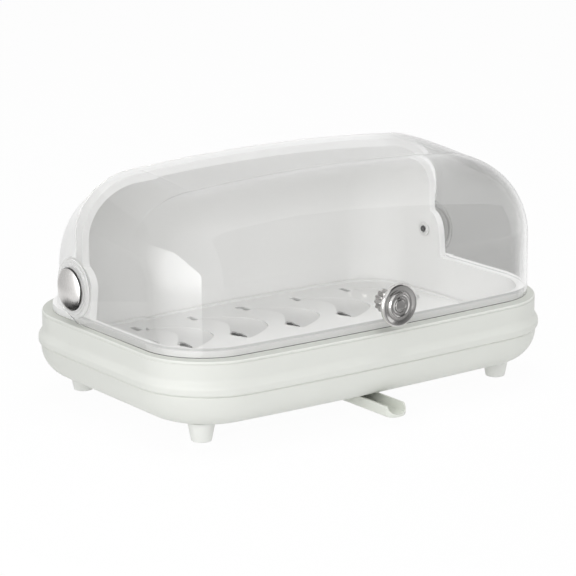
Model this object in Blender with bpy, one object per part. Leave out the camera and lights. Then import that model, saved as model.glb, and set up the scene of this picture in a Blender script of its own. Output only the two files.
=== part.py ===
"""Cup storage box: a footed drain basin, a white hood, a clear flip lid, a drip tray and a drain spout.

Lengths are in metres. X runs along the box, -Y is the front, +Z is up. The sizes below are
measured from the middle of the base. The finished box is then moved so that the origin is
on the table under the middle of its whole outline, spout included. The lid turns about a
level axis through both ends.
"""
import math

import bmesh
import bpy
from mathutils import Matrix, Vector

# Shared clearances and tool values
TOUCH_GAP = 0.0003
RUNNING_GAP = 0.0005
OVERRUN = 0.004
SINK = 0.002

# Base plan and section
BASE_LENGTH = 0.400
BASE_WIDTH = 0.2595
BASE_CORNER = 0.062
SIDE_BOW = 0.0064
BASE_BOTTOM = 0.017
BASE_BELLY = 0.027
BASE_WALL = 0.003
LEDGE_HEIGHT = 0.0745
LEDGE_ROUND = 0.003
BEAD_ABOVE_BELLY = 0.0018
BEAD_UNDER = 0.0026
BEAD_TALL = 0.0052
FLARE_TALL = 0.008
BEAD_PROUD = 0.0035
BELLY_INSET = 0.0022

# Feet and their pads
FOOT_END_INSET = 0.0453
FOOT_SIDE_INSET = 0.04115
FOOT_TOP_RADIUS = 0.0115
FOOT_TIP_RADIUS = 0.00825
FOOT_CLEAR = 0.0005
PEG_RADIUS = 0.004
PEG_LENGTH = 0.007
FOOT_TIP_WALL = 0.00115
PAD_THICKNESS = 0.0018
BOSS_WALL = 0.0035
BOSS_ROOF = 0.003

# Lid
LID_END_INSET = 0.0085
LID_SIDE_INSET = 0.012
LID_WALL = 0.0026
LID_TOP = 0.203
LID_CROWN = 0.011
LID_ROOF_FALL = 0.0057
LID_SHOULDER = 0.048
LID_FRONT_RISE = 0.050
LID_DRAFT = 0.0008
LID_REAR_LAP = 0.0015
EAR_RADIUS = 0.027
EAR_FOOT_GAP = 0.002
EAR_HEEL = 0.004
EAR_BOSS_MARGIN = 0.0034
EAR_BOSS_STEP = 0.003
EAR_BOSS_TALL = 0.0024

# Hood: ring, skirt, rim and shell
RING_THICKNESS = 0.0067
RING_TALL = 0.0057
RIM_THICKNESS = 0.0064
RIM_DEPTH = 0.008
RIM_LEAD = 0.0065
HOOD_WALL = 0.003
HOOD_ROOF_GAP = 0.0035
HOOD_CROWN = 0.0102
SKIRT_WALL = 0.0028
SKIRT_DEPTH = 0.0345
LIP_WIDTH = 0.005
LIP_THICKNESS = 0.0025
LUG_LENGTH = 0.014
LUG_TALL = 0.003
LUG_PROUD = 0.0015

# Pivot
PIVOT_Y = 0.040
PIVOT_BOSS_RADIUS = 0.020
BUSH_RADIUS = 0.005
BUSH_WALL = 0.0018
BUSH_FLANGE_RADIUS = 0.0068
BUSH_FLANGE = 0.0015
CAP_RADIUS = 0.018
CAP_EDGE = 0.0012
CAP_DOME = 0.0042
SCREW_SHANK = 0.0014
SCREW_HEAD_RADIUS = 0.0034
SCREW_HEAD = 0.0018
SCREW_RECESS = 0.0011
SCREW_BITE = 0.0065
CAP_STEM_REACH = 0.009

# Knob
KNOB_ABOVE_FOOT = 0.006
KNOB_COLLAR_RADIUS = 0.0106
KNOB_COLLAR_LENGTH = 0.007
KNOB_FLUTE = 0.0008
KNOB_FLUTES = 16
KNOB_NECK_RADIUS = 0.0065
KNOB_NECK_LENGTH = 0.0075
KNOB_DISC_RADIUS = 0.018
KNOB_DISC = 0.0068
KNOB_CENTRE_SHARE = 0.28
KNOB_CENTRE_DEPTH = 0.0014
KNOB_STUD_RADIUS = 0.0032
KNOB_SCREW_RADIUS = 0.0016
KNOB_SCREW_HEAD_RADIUS = 0.0040
KNOB_SCREW_HEAD = 0.0020
KNOB_SCREW_BITE = 0.009
KNOB_WASHER_RADIUS = 0.0062
KNOB_WASHER = 0.0010

# Tray
TRAY_CLEAR = 0.0008
TRAY_FLOOR = 0.002
TRAY_RIM = 0.002
TRAY_RIM_TALL = 0.0022
SCOOP_PITCH_X = 0.0563
SCOOP_PITCH_Y = 0.1053
SCOOP_LEFT_MARGIN = 0.0262
SCOOP_REAR_MARGIN = 0.01935
SCOOP_LEAST_MARGIN = 0.006
SCOOP_LEAD = 0.0035
SCOOP_LENGTH = 0.077
SCOOP_WIDTH = 0.0406
SCOOP_DEPTH = 0.0035
SCOOP_EDGE_DEPTH = 0.0006
SCOOP_WALL = 0.0014
SLOT_WIDTH = 0.0045
SLOT_LENGTH = 0.013

# Drain outlet, spout and its rails
OUTLET_FROM_SPOUT_END = 0.012
OUTLET_RADIUS = 0.005
OUTLET_WALL = 0.002
OUTLET_CLEAR = 0.0004
SPOUT_STANDS_OUT = 0.01725
SPOUT_LENGTH = 0.097
SPOUT_HALF_WIDTH = 0.010
SPOUT_WALL = 0.002
SPOUT_TALL = 0.0095
SPOUT_UNDER_BASE = 0.002
SPOUT_TIP_ROUND = 0.006
SPOUT_SLANT = 0.006
SPOUT_LIP = 0.001
FLANGE_WIDTH = 0.0025
FLANGE_THICKNESS = 0.0015
FLANGE_LENGTH = 0.055
RAIL_WEB = 0.0025
RAIL_FOOT = 0.002
RAIL_TOP = 0.002
RAIL_WING = 0.0076
RAIL_SETBACK = 0.00565
RAIL_LENGTH = 0.080
RAIL_SCREW_INSET = 0.012

# Division counts
CORNER_STEPS = 7
SIDE_STEPS = 8
DOME_STEPS = 9
BELLY_STEPS = 6
BEAD_STEPS = 3
FLARE_STEPS = 5
ROUND_STEPS = 28
SMALL_STEPS = 16

# Places worked out from the sizes above
HALF_LENGTH = BASE_LENGTH / 2
HALF_WIDTH = BASE_WIDTH / 2
BEAD_LOW = BASE_BOTTOM + BASE_BELLY + BEAD_ABOVE_BELLY
FLOOR_TOP = BASE_BOTTOM + BASE_WALL
FOOT_TOP = BASE_BOTTOM - TOUCH_GAP
FOOT_TIP = FOOT_CLEAR
PAD_RADIUS = FOOT_TIP_RADIUS - FOOT_TIP_WALL - TOUCH_GAP
LID_HALF_LENGTH = HALF_LENGTH - LID_END_INSET
LID_HALF_WIDTH = HALF_WIDTH - LID_SIDE_INSET
LID_CORNER = BASE_CORNER - (LID_END_INSET + LID_SIDE_INSET) / 2
LID_FOOT = LEDGE_HEIGHT + RUNNING_GAP
LID_BROW_Z = LID_FOOT + LID_FRONT_RISE
LID_BROW_RADIUS = LID_TOP - LID_ROOF_FALL - LID_BROW_Z
LID_BROW_Y = -(LID_HALF_WIDTH + SIDE_BOW - LID_DRAFT - LID_BROW_RADIUS)
LID_LEAN = LID_DRAFT / LID_FRONT_RISE
LID_REAR_EDGE = PIVOT_Y + LID_REAR_LAP
PIVOT_Z = LID_FOOT + EAR_RADIUS + EAR_FOOT_GAP
RIM_FRONT = PIVOT_Y - RIM_LEAD
RING_OUTSIDE = LID_WALL + RUNNING_GAP
RING_BOTTOM = LEDGE_HEIGHT + TOUCH_GAP
RING_TOP = RING_BOTTOM + RING_TALL
HOOD_INSET = RING_OUTSIDE + RING_THICKNESS
HOOD_HALF_LENGTH = LID_HALF_LENGTH - HOOD_INSET
HOOD_HALF_WIDTH = LID_HALF_WIDTH - HOOD_INSET
HOOD_CORNER = LID_CORNER - HOOD_INSET
HOOD_AXIS_Y = RIM_FRONT - SINK / 2
HOOD_RADIUS = HOOD_HALF_WIDTH + SIDE_BOW - HOOD_AXIS_Y
HOOD_TOP_INSIDE = LID_TOP - LID_WALL - HOOD_ROOF_GAP - RIM_THICKNESS
HOOD_AXIS_Z = HOOD_TOP_INSIDE - HOOD_RADIUS
SKIRT_BOTTOM = LEDGE_HEIGHT - SKIRT_DEPTH
LIP_TOP = SKIRT_BOTTOM + LIP_THICKNESS
BORE_RADIUS = BUSH_RADIUS + TOUCH_GAP
KNOB_HEIGHT = LID_FOOT + KNOB_DISC_RADIUS + KNOB_ABOVE_FOOT
KNOB_SEAT_Y = -(LID_HALF_WIDTH + SIDE_BOW - LID_LEAN * (KNOB_HEIGHT - LID_FOOT))
KNOB_HOLE_RADIUS = KNOB_SCREW_RADIUS + RUNNING_GAP
KNOB_CENTRE_RADIUS = KNOB_DISC_RADIUS * KNOB_CENTRE_SHARE
TRAY_BOTTOM = LIP_TOP + TOUCH_GAP
TRAY_TOP = TRAY_BOTTOM + TRAY_FLOOR
SCOOP_FIRST_X = SCOOP_LEFT_MARGIN - HOOD_HALF_LENGTH
SCOOP_FIRST_Y = HOOD_HALF_WIDTH - SCOOP_REAR_MARGIN
SCOOP_REACH_X = SLOT_WIDTH + SCOOP_WIDTH + SCOOP_LEAST_MARGIN
SCOOP_REACH_Y = SCOOP_LEAD + SCOOP_LENGTH + SCOOP_LEAST_MARGIN
SCOOP_COLUMNS = 1 + int((HOOD_HALF_LENGTH - SCOOP_FIRST_X - SCOOP_REACH_X) / SCOOP_PITCH_X)
SCOOP_ROWS = 1 + int((HOOD_HALF_WIDTH + SCOOP_FIRST_Y - SCOOP_REACH_Y) / SCOOP_PITCH_Y)
SPOUT_TOP = BASE_BOTTOM - SPOUT_UNDER_BASE
SPOUT_BOTTOM = SPOUT_TOP - SPOUT_TALL
SPOUT_TIP = -(HALF_WIDTH + SPOUT_STANDS_OUT)
SPOUT_REAR = SPOUT_TIP + SPOUT_LENGTH
OUTLET_Y = SPOUT_REAR - OUTLET_FROM_SPOUT_END
OUTLET_LOW = SPOUT_TOP + OUTLET_CLEAR
RAIL_FRONT = -(HALF_WIDTH + SIDE_BOW - BEAD_PROUD - BASE_BELLY - RAIL_SETBACK)
ORIGIN_MOVE_Y = -(SPOUT_TIP + HALF_WIDTH + SIDE_BOW) / 2


# Scene and materials

def clear_scene():
    for item in list(bpy.data.objects):
        bpy.data.objects.remove(item, do_unlink=True)


def make_material(name, colour, roughness, metallic=0.0, transmission=0.0):
    material = bpy.data.materials.new(name)
    material.use_nodes = True
    shader = material.node_tree.nodes["Principled BSDF"]
    shader.inputs["Base Color"].default_value = (*colour, 1.0)
    shader.inputs["Roughness"].default_value = roughness
    shader.inputs["Metallic"].default_value = metallic
    shader.inputs["Transmission Weight"].default_value = transmission
    material.diffuse_color = (*colour, 1.0 - 0.6 * transmission)
    return material


# Mesh and object helpers

def finish_mesh(name, form, smooth=True):
    bmesh.ops.recalc_face_normals(form, faces=form.faces)
    mesh = bpy.data.meshes.new(name)
    form.to_mesh(mesh)
    form.free()
    if smooth:
        mesh.shade_smooth()
        mesh.set_sharp_from_angle(angle=math.radians(32))
    return mesh


def place(name, mesh, material, location=(0, 0, 0), rotation=(0, 0, 0), parent=None):
    item = bpy.data.objects.new(name, mesh)
    bpy.context.collection.objects.link(item)
    item.location = location
    item.rotation_euler = rotation
    if material is not None:
        mesh.materials.clear()
        mesh.materials.append(material)
    if parent is not None:
        item.parent = parent
        item.location = Vector(location) - parent.location
    return item


def guide(name, mesh, location=(0, 0, 0), rotation=(0, 0, 0)):
    """A shape that only adds to or cuts another one."""
    item = place(name, mesh, None, location, rotation)
    item.hide_render = True
    item.display_type = "WIRE"
    return item


def combine(target, tool, operation):
    modifier = target.modifiers.new(tool.name, "BOOLEAN")
    modifier.operation = operation
    modifier.solver = "EXACT"
    modifier.object = tool
    return modifier


def loft(name, loops, smooth=True):
    """A closed body through loops that all have the same number of points, with flat ends."""
    form = bmesh.new()
    rings = [[form.verts.new(point) for point in loop] for loop in loops]
    count = len(rings[0])
    for low, high in zip(rings, rings[1:]):
        for k in range(count):
            after = (k + 1) % count
            form.faces.new((low[k], low[after], high[after], high[k]))
    form.faces.new(rings[0])
    form.faces.new(rings[-1])
    return finish_mesh(name, form, smooth)


def extrude_side_profile(name, profile, half_length):
    """A body with a YZ outline, running along X from -half_length to +half_length."""
    loops = [[(side * half_length, y, z) for y, z in profile] for side in (-1, 1)]
    return loft(name, loops, smooth=False)


def block(name, low, high):
    """A box between two corners."""
    corners = [(low[0], low[1]), (high[0], low[1]), (high[0], high[1]), (low[0], high[1])]
    return loft(name, [[(x, y, z) for x, y in corners] for z in (low[2], high[2])], smooth=False)


def turned(name, profile, steps=ROUND_STEPS, flute=0.0, flutes=0, smooth_to=0.0):
    """A body turned about Z from (radius, height) pairs that meet the axis at both ends or at neither.

    Flutes are cut only beyond the radius smooth_to.
    """
    form = bmesh.new()
    closed = profile[0][0] > 0
    rings = []
    for radius, height in profile:
        if radius == 0:
            rings.append([form.verts.new((0, 0, height))])
            continue
        ring = []
        for k in range(steps):
            angle = 2 * math.pi * k / steps
            reach = radius + flute * math.cos(flutes * angle) if radius > smooth_to else radius
            ring.append(form.verts.new((reach * math.cos(angle), reach * math.sin(angle), height)))
        rings.append(ring)
    pairs = list(zip(rings, rings[1:]))
    if closed:
        pairs.append((rings[-1], rings[0]))
    for one, two in pairs:
        for k in range(steps):
            after = (k + 1) % steps
            if len(one) == 1:
                form.faces.new((one[0], two[after], two[k]))
            elif len(two) == 1:
                form.faces.new((one[k], one[after], two[0]))
            else:
                form.faces.new((one[k], one[after], two[after], two[k]))
    return finish_mesh(name, form)


def join_meshes(name, meshes):
    """Separate shapes kept in one mesh, as one tool."""
    form = bmesh.new()
    for mesh in meshes:
        form.from_mesh(mesh)
    return finish_mesh(name, form, smooth=False)


def moved(mesh, offset):
    mesh.transform(Matrix.Translation(offset))
    return mesh


def arc(centre, radius, start, end, steps):
    """Points of an arc in a YZ outline, angles in degrees."""
    angles = [math.radians(start + (end - start) * k / steps) for k in range(steps + 1)]
    return [(centre[0] + radius * math.cos(a), centre[1] + radius * math.sin(a)) for a in angles]


def bend(start, corner, end, steps):
    """Points of a soft bend from start to end that is drawn towards corner, without its two ends."""
    points = []
    for k in range(1, steps):
        t = k / steps
        weights = ((1 - t) ** 2, 2 * t * (1 - t), t ** 2)
        points.append(tuple(sum(w * p[n] for w, p in zip(weights, (start, corner, end))) for n in (0, 1)))
    return points


# Plan outlines

def swell(x, reach, half_width):
    """How far the long side bows out at x, fading out round the corner."""
    return SIDE_BOW * (1 - (x / HALF_LENGTH) ** 2) * (reach / half_width) ** 4


def side_columns(half_length, half_width, corner):
    """Points (x, reach) from one end to the other along a long side and its two corners."""
    columns = []
    straight = half_length - corner
    for k in range(CORNER_STEPS):
        angle = math.pi / 2 * k / CORNER_STEPS
        columns.append((-straight - corner * math.cos(angle), half_width - corner * (1 - math.sin(angle))))
    for k in range(SIDE_STEPS + 1):
        columns.append((straight * (2 * k / SIDE_STEPS - 1), half_width))
    columns += [(-x, reach) for x, reach in reversed(columns[:CORNER_STEPS])]
    return [(x, reach + swell(x, reach, half_width)) for x, reach in columns]


def plan_loop(half_length, half_width, corner, height):
    """A closed level outline of the rounded, bowed plan."""
    columns = side_columns(half_length, half_width, corner)
    front = [(x, -reach, height) for x, reach in columns]
    rear = [(x, reach, height) for x, reach in reversed(columns)]
    return front + rear


def base_loop(inset, height):
    return plan_loop(HALF_LENGTH - inset, HALF_WIDTH - inset, BASE_CORNER - inset, height)


def hood_loop(offset, height):
    """The hood's inner outline moved outwards by offset."""
    return plan_loop(HOOD_HALF_LENGTH + offset, HOOD_HALF_WIDTH + offset, HOOD_CORNER + offset, height)


# Domed forms

def roof_columns(half_length, shoulder, rise, crown):
    """Points (x, rise above the axis) of the arch over the box, matching side_columns."""
    columns = []
    straight = half_length - shoulder
    for k in range(CORNER_STEPS):
        angle = math.pi / 2 * k / CORNER_STEPS
        columns.append((-straight - shoulder * math.cos(angle), rise - shoulder * (1 - math.sin(angle))))
    for k in range(SIDE_STEPS + 1):
        columns.append((straight * (2 * k / SIDE_STEPS - 1), rise))
    columns += [(-x, height) for x, height in reversed(columns[:CORNER_STEPS])]
    edge = crown * (straight / half_length) ** 2
    arch = []
    for x, height in columns:
        fall = crown * (x / half_length) ** 2 if abs(x) < straight else edge
        arch.append((x, height - fall))
    return arch


def dome_sweep(wall, roof, axis, direction):
    """Stations that turn a wall into a roof about a line along X, from level to upright."""
    stations = []
    for step in range(DOME_STEPS + 1):
        angle = math.pi / 2 * step / DOME_STEPS
        blend = math.sin(angle) ** 2
        station = []
        for (wall_x, reach), (roof_x, rise) in zip(wall, roof):
            x = wall_x + (roof_x - wall_x) * blend
            level = reach - direction * axis[0]
            height = level + (rise - level) * blend
            y = axis[0] + direction * height * math.cos(angle)
            station.append((x, y, axis[1] + height * math.sin(angle)))
        stations.append(station)
    return stations


def domed_solid(name, stations, far_y, low_z):
    """A closed body under a sheet of stations, flat below, at its far side and at both ends."""
    form = bmesh.new()
    rows = [[form.verts.new(point) for point in station] for station in stations]
    count = len(rows[0])
    for one, two in zip(rows, rows[1:]):
        for k in range(count - 1):
            form.faces.new((one[k], one[k + 1], two[k + 1], two[k]))
    left = form.verts.new((rows[0][0].co.x, far_y, low_z))
    right = form.verts.new((rows[0][-1].co.x, far_y, low_z))
    form.faces.new(rows[0] + [right, left])
    form.faces.new(rows[-1] + [right, left])
    form.faces.new([row[0] for row in rows] + [left])
    form.faces.new([row[-1] for row in rows] + [right])
    return finish_mesh(name, form)


def hood_dome(name, offset, low_z, far_y):
    wall = side_columns(HOOD_HALF_LENGTH + offset, HOOD_HALF_WIDTH + offset, HOOD_CORNER + offset)
    roof = roof_columns(HOOD_HALF_LENGTH + offset, HOOD_CORNER + offset, HOOD_RADIUS + offset, HOOD_CROWN)
    turn = dome_sweep(wall, roof, (HOOD_AXIS_Y, HOOD_AXIS_Z), 1)
    foot = [(x, reach, low_z) for x, reach in wall]
    front = [(x, far_y, HOOD_AXIS_Z + rise) for x, rise in roof]
    return domed_solid(name, [foot] + turn + [front], far_y, low_z)


def hood_void(name, roof_z):
    """The space inside the hood: the ring's outline below, the dome behind, open above in front."""
    wall = side_columns(HOOD_HALF_LENGTH, HOOD_HALF_WIDTH, HOOD_CORNER)
    roof = roof_columns(HOOD_HALF_LENGTH, HOOD_CORNER, HOOD_RADIUS, HOOD_CROWN)
    turn = dome_sweep(wall, roof, (HOOD_AXIS_Y, HOOD_AXIS_Z), 1)
    low = [
        hood_loop(-LIP_WIDTH, SKIRT_BOTTOM - OVERRUN), hood_loop(-LIP_WIDTH, LIP_TOP), hood_loop(0, LIP_TOP),
    ]
    count = len(wall)
    form = bmesh.new()
    rings = [[form.verts.new(point) for point in loop] for loop in low]
    form.faces.new(rings[0])
    for one, two in zip(rings, rings[1:]):
        for k in range(2 * count):
            after = (k + 1) % (2 * count)
            form.faces.new((one[k], one[after], two[after], two[k]))
    front_low = rings[-1][:count]
    rear_low = list(reversed(rings[-1][count:]))
    front_high = [form.verts.new((x, -reach, roof_z)) for x, reach in wall]
    for k in range(count - 1):
        form.faces.new((front_low[k], front_low[k + 1], front_high[k + 1], front_high[k]))
    rows = [[form.verts.new(point) for point in station] for station in turn]
    for one, two in zip([rear_low] + rows, rows):
        for k in range(count - 1):
            form.faces.new((one[k], one[k + 1], two[k + 1], two[k]))
    top_left = form.verts.new((-HOOD_HALF_LENGTH, HOOD_AXIS_Y, roof_z))
    top_right = form.verts.new((HOOD_HALF_LENGTH, HOOD_AXIS_Y, roof_z))
    form.faces.new(rows[-1] + [top_right, top_left])
    form.faces.new(front_high + [top_right, top_left])
    form.faces.new([front_low[0], rear_low[0]] + [row[0] for row in rows] + [top_left, front_high[0]])
    form.faces.new([front_low[-1], rear_low[-1]] + [row[-1] for row in rows] + [top_right, front_high[-1]])
    return finish_mesh(name, form)


# Base

def make_base(material):
    belly = []
    for k in range(BELLY_STEPS + 1):
        angle = math.pi / 2 * k / BELLY_STEPS
        inset = BELLY_INSET + BASE_BELLY * (1 - math.sin(angle))
        belly.append((inset, BASE_BOTTOM + BASE_BELLY * (1 - math.cos(angle))))
    bead = []
    for k in range(BEAD_STEPS + 1):
        angle = math.pi / 2 * k / BEAD_STEPS
        bead.append((BELLY_INSET * (1 - math.sin(angle)), BEAD_LOW + BEAD_UNDER * (1 - math.cos(angle))))
    for k in range(FLARE_STEPS + 1):
        part = k / FLARE_STEPS
        inset = BEAD_PROUD * (1 - math.cos(math.pi * part)) / 2
        bead.append((inset, BEAD_LOW + BEAD_TALL + FLARE_TALL * part))
    round_over = []
    for k in range(4):
        angle = math.pi / 2 * k / 3
        inset = BEAD_PROUD + LEDGE_ROUND * (1 - math.cos(angle))
        round_over.append((inset, LEDGE_HEIGHT - LEDGE_ROUND * (1 - math.sin(angle))))
    loops = [base_loop(inset, height) for inset, height in belly + bead + round_over]
    opening = SKIRT_WALL + RUNNING_GAP
    loops.append(hood_loop(opening, LEDGE_HEIGHT))
    loops.append(hood_loop(opening, LEDGE_HEIGHT - BASE_WALL))
    inside = BEAD_PROUD + BASE_WALL
    loops.append(base_loop(inside, LEDGE_HEIGHT - BASE_WALL))
    inner_belly = BASE_BELLY - BASE_WALL
    inside = BELLY_INSET + BASE_WALL
    for k in range(BELLY_STEPS + 1):
        angle = math.pi / 2 * k / BELLY_STEPS
        inset = inside + inner_belly * (1 - math.cos(angle))
        loops.append(base_loop(inset, FLOOR_TOP + inner_belly * (1 - math.sin(angle))))
    base = place("base_basin", loft("base_basin", loops), material)

    posts = []
    holes = []
    peg_hole = PEG_RADIUS + TOUCH_GAP
    peg_top = BASE_BOTTOM + PEG_LENGTH + TOUCH_GAP
    for x, y in foot_places():
        posts.append(post_mesh(x, y, peg_hole + BOSS_WALL, peg_top + BOSS_ROOF))
        holes.append(hole_mesh(x, y, peg_hole, BASE_BOTTOM - OVERRUN, peg_top))
    pilot = SCREW_SHANK + TOUCH_GAP
    for x, y in rail_screw_places():
        posts.append(post_mesh(x, y, pilot + BOSS_WALL, rail_screw_top() + BOSS_ROOF))
        holes.append(hole_mesh(x, y, pilot, BASE_BOTTOM - OVERRUN, rail_screw_top() + TOUCH_GAP))
    lip = hole_mesh(0, OUTLET_Y, OUTLET_RADIUS + OUTLET_WALL, OUTLET_LOW, FLOOR_TOP - BASE_WALL / 2)
    holes.append(hole_mesh(0, OUTLET_Y, OUTLET_RADIUS, OUTLET_LOW - OVERRUN, FLOOR_TOP + OVERRUN))
    combine(base, guide("base_posts", join_meshes("base_posts", posts + [lip])), "UNION")
    combine(base, guide("base_holes", join_meshes("base_holes", holes)), "DIFFERENCE")
    return base


def hole_mesh(x, y, radius, low, high):
    mesh = turned("round_tool", [(0, low), (radius, low), (radius, high), (0, high)], SMALL_STEPS)
    return moved(mesh, (x, y, 0))


def post_mesh(x, y, radius, top):
    return hole_mesh(x, y, radius, FLOOR_TOP - BASE_WALL / 2, top)


def foot_places():
    x = HALF_LENGTH - FOOT_END_INSET
    y = HALF_WIDTH - FOOT_SIDE_INSET
    return [(side * x, depth * y) for depth in (-1, 1) for side in (-1, 1)]


def rail_screw_places():
    x = rail_wing_outside() - RAIL_WING / 2
    fronts = (RAIL_FRONT + RAIL_SCREW_INSET, RAIL_FRONT + RAIL_LENGTH - RAIL_SCREW_INSET)
    return [(side * x, y) for side in (-1, 1) for y in fronts]


def rail_web_inside():
    return SPOUT_HALF_WIDTH + FLANGE_WIDTH + RUNNING_GAP


def rail_wing_outside():
    return rail_web_inside() + RAIL_WEB + RAIL_WING


def rail_screw_top():
    return FOOT_TOP + SCREW_BITE


def make_feet(foot_material, pad_material):
    names = ("front_left", "front_right", "rear_left", "rear_right")
    recess = PAD_RADIUS + TOUCH_GAP
    recess_top = PAD_THICKNESS + TOUCH_GAP
    foot_profile = [
        (0, recess_top), (recess, recess_top), (recess, FOOT_TIP), (FOOT_TIP_RADIUS, FOOT_TIP),
        (FOOT_TOP_RADIUS, FOOT_TOP), (PEG_RADIUS, FOOT_TOP), (PEG_RADIUS, FOOT_TOP + PEG_LENGTH),
        (0, FOOT_TOP + PEG_LENGTH),
    ]
    pad_profile = [(0, 0), (PAD_RADIUS, 0), (PAD_RADIUS, PAD_THICKNESS), (0, PAD_THICKNESS)]
    for name, (x, y) in zip(names, foot_places()):
        foot = turned("foot_" + name, foot_profile, SMALL_STEPS)
        place("foot_" + name, foot, foot_material, (x, y, 0))
        pad = turned("foot_pad_" + name, pad_profile, SMALL_STEPS)
        place("foot_pad_" + name, pad, pad_material, (x, y, 0))


# Hood

# How far above the pivot the cheek's soft bend ends, as a share of the boss's radius
BOSS_BEND_SHARE = 1.45


def boss_front():
    """The front edge of the hood's cheeks, from the ring up: boss, soft bend, then the rim."""
    centre = (PIVOT_Y, PIVOT_Z)
    round_part = arc(centre, PIVOT_BOSS_RADIUS, 180, 115, 6)
    start = round_part[-1]
    corner = (RIM_FRONT, start[1] + (RIM_FRONT - start[0]) / 2)
    end = (RIM_FRONT, PIVOT_Z + PIVOT_BOSS_RADIUS * BOSS_BEND_SHARE)
    return round_part + bend(start, corner, end, 4) + [end]


def boss_rear():
    """The same edge mirrored behind the pivot, as far back as the rim is deep."""
    rear = RIM_FRONT + RIM_DEPTH
    round_part = arc((PIVOT_Y, PIVOT_Z), PIVOT_BOSS_RADIUS, 0, 62, 6)
    start = round_part[-1]
    corner = (rear, start[1] + (start[0] - rear) / 2)
    end = (rear, PIVOT_Z + PIVOT_BOSS_RADIUS * BOSS_BEND_SHARE)
    return round_part + bend(start, corner, end, 4) + [end]


def make_hood(material):
    sky = LID_TOP + OVERRUN
    reach = LID_HALF_LENGTH
    wall_foot = RING_TOP - SINK
    far = PIVOT_Y - PIVOT_BOSS_RADIUS - SINK
    hood = place("hood", hood_dome("hood", HOOD_WALL, wall_foot, far), material)

    rim = guide("hood_rim_form", hood_dome("hood_rim_form", RIM_THICKNESS, wall_foot, far))
    back_edge = boss_rear()
    front_limit = far - OVERRUN
    band = [(front_limit, wall_foot - OVERRUN), (back_edge[0][0], wall_foot - OVERRUN)]
    band += back_edge + [(back_edge[-1][0], sky), (front_limit, sky)]
    band_form = guide("hood_rim_band", extrude_side_profile("hood_rim_band", band, reach))
    combine(rim, band_form, "INTERSECT")
    combine(hood, rim, "UNION")

    edge = boss_front()
    front = [(front_limit, wall_foot - OVERRUN), (edge[0][0], wall_foot - OVERRUN)]
    front += edge + [(edge[-1][0], sky), (front_limit, sky)]
    front_cut = extrude_side_profile("hood_front_cut", front, reach)
    combine(hood, guide("hood_front_cut", front_cut), "DIFFERENCE")

    ring_loops = [
        hood_loop(SKIRT_WALL, SKIRT_BOTTOM), hood_loop(SKIRT_WALL, RING_BOTTOM),
        hood_loop(RING_THICKNESS, RING_BOTTOM), hood_loop(RING_THICKNESS, RING_TOP),
    ]
    combine(hood, guide("hood_ring_form", loft("hood_ring_form", ring_loops)), "UNION")
    combine(hood, guide("hood_lugs", lug_mesh()), "UNION")
    combine(hood, guide("hood_void", hood_void("hood_void", sky)), "DIFFERENCE")
    combine(hood, guide("hood_pivot_bore", pivot_bore()), "DIFFERENCE")
    return hood


def lug_mesh():
    """Small snap lugs on the skirt that catch under the base's ledge."""
    top = LEDGE_HEIGHT - BASE_WALL - TOUCH_GAP
    low = top - LUG_TALL
    lugs = []
    quarter = HOOD_HALF_LENGTH / 2
    for x in (-quarter, quarter):
        bow = SIDE_BOW * (1 - (x / HALF_LENGTH) ** 2)
        face = HOOD_HALF_WIDTH + SKIRT_WALL + bow
        for side in (-1, 1):
            y_in = side * (face - SKIRT_WALL / 2)
            y_out = side * (face + LUG_PROUD)
            ends = (min(y_in, y_out), max(y_in, y_out))
            lugs.append(block("lug", (x - LUG_LENGTH / 2, ends[0], low), (x + LUG_LENGTH / 2, ends[1], top)))
    face = HOOD_HALF_LENGTH + SKIRT_WALL
    for side in (-1, 1):
        ends = sorted((side * (face - SKIRT_WALL / 2), side * (face + LUG_PROUD)))
        lugs.append(block("lug", (ends[0], -LUG_LENGTH / 2, low), (ends[1], LUG_LENGTH / 2, top)))
    return join_meshes("hood_lugs", lugs)


def pivot_bore():
    reach = LID_HALF_LENGTH + OVERRUN
    mesh = turned("pivot_bore", axle_profile(BORE_RADIUS, -reach, reach), SMALL_STEPS)
    mesh.transform(Matrix.Rotation(math.pi / 2, 4, "Y"))
    return moved(mesh, (0, PIVOT_Y, PIVOT_Z))


# Lid

# The shoulder's radius takes no more than this share of the brow's
SHOULDER_LIMIT_SHARE = 0.8


def lid_dome(name, inset, low_z, far_y):
    wall = side_columns(LID_HALF_LENGTH - inset, LID_HALF_WIDTH - inset, LID_CORNER - inset)
    upper_wall = [(x, reach - LID_DRAFT) for x, reach in wall]
    rise = LID_BROW_RADIUS - inset
    shoulder = min(LID_SHOULDER, LID_BROW_RADIUS * SHOULDER_LIMIT_SHARE) - inset
    roof = roof_columns(LID_HALF_LENGTH - inset, shoulder, rise, LID_CROWN)
    turn = dome_sweep(upper_wall, roof, (LID_BROW_Y, LID_BROW_Z), -1)
    foot = [(x, -reach, low_z) for x, reach in wall]
    back = []
    span = LID_REAR_EDGE - LID_BROW_Y
    for y in (LID_BROW_Y + span / 3, LID_BROW_Y + span * 2 / 3, LID_REAR_EDGE, far_y):
        part = min(1, (y - LID_BROW_Y) / span)
        lift = LID_ROOF_FALL * math.sin(math.pi / 2 * part)
        back.append([(x, y, LID_BROW_Z + height + lift) for x, height in roof])
    return domed_solid(name, [foot] + turn + back, far_y, low_z)


# Where the bend above the ear starts and where its corner lies, as shares of the ear's radius
EAR_BEND_SHARES = (1.35, 1.05)


def lid_rear_edge():
    """The lid's rear outline from the roof down: straight edge, soft bend, round ear, then the foot."""
    centre = (PIVOT_Y, PIVOT_Z)
    round_part = arc(centre, EAR_RADIUS, 60, -60, 12)
    start = (LID_REAR_EDGE, PIVOT_Z + EAR_RADIUS * EAR_BEND_SHARES[0])
    corner = (LID_REAR_EDGE, PIVOT_Z + EAR_RADIUS * EAR_BEND_SHARES[1])
    return [start] + bend(start, corner, round_part[0], 4) + round_part


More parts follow.
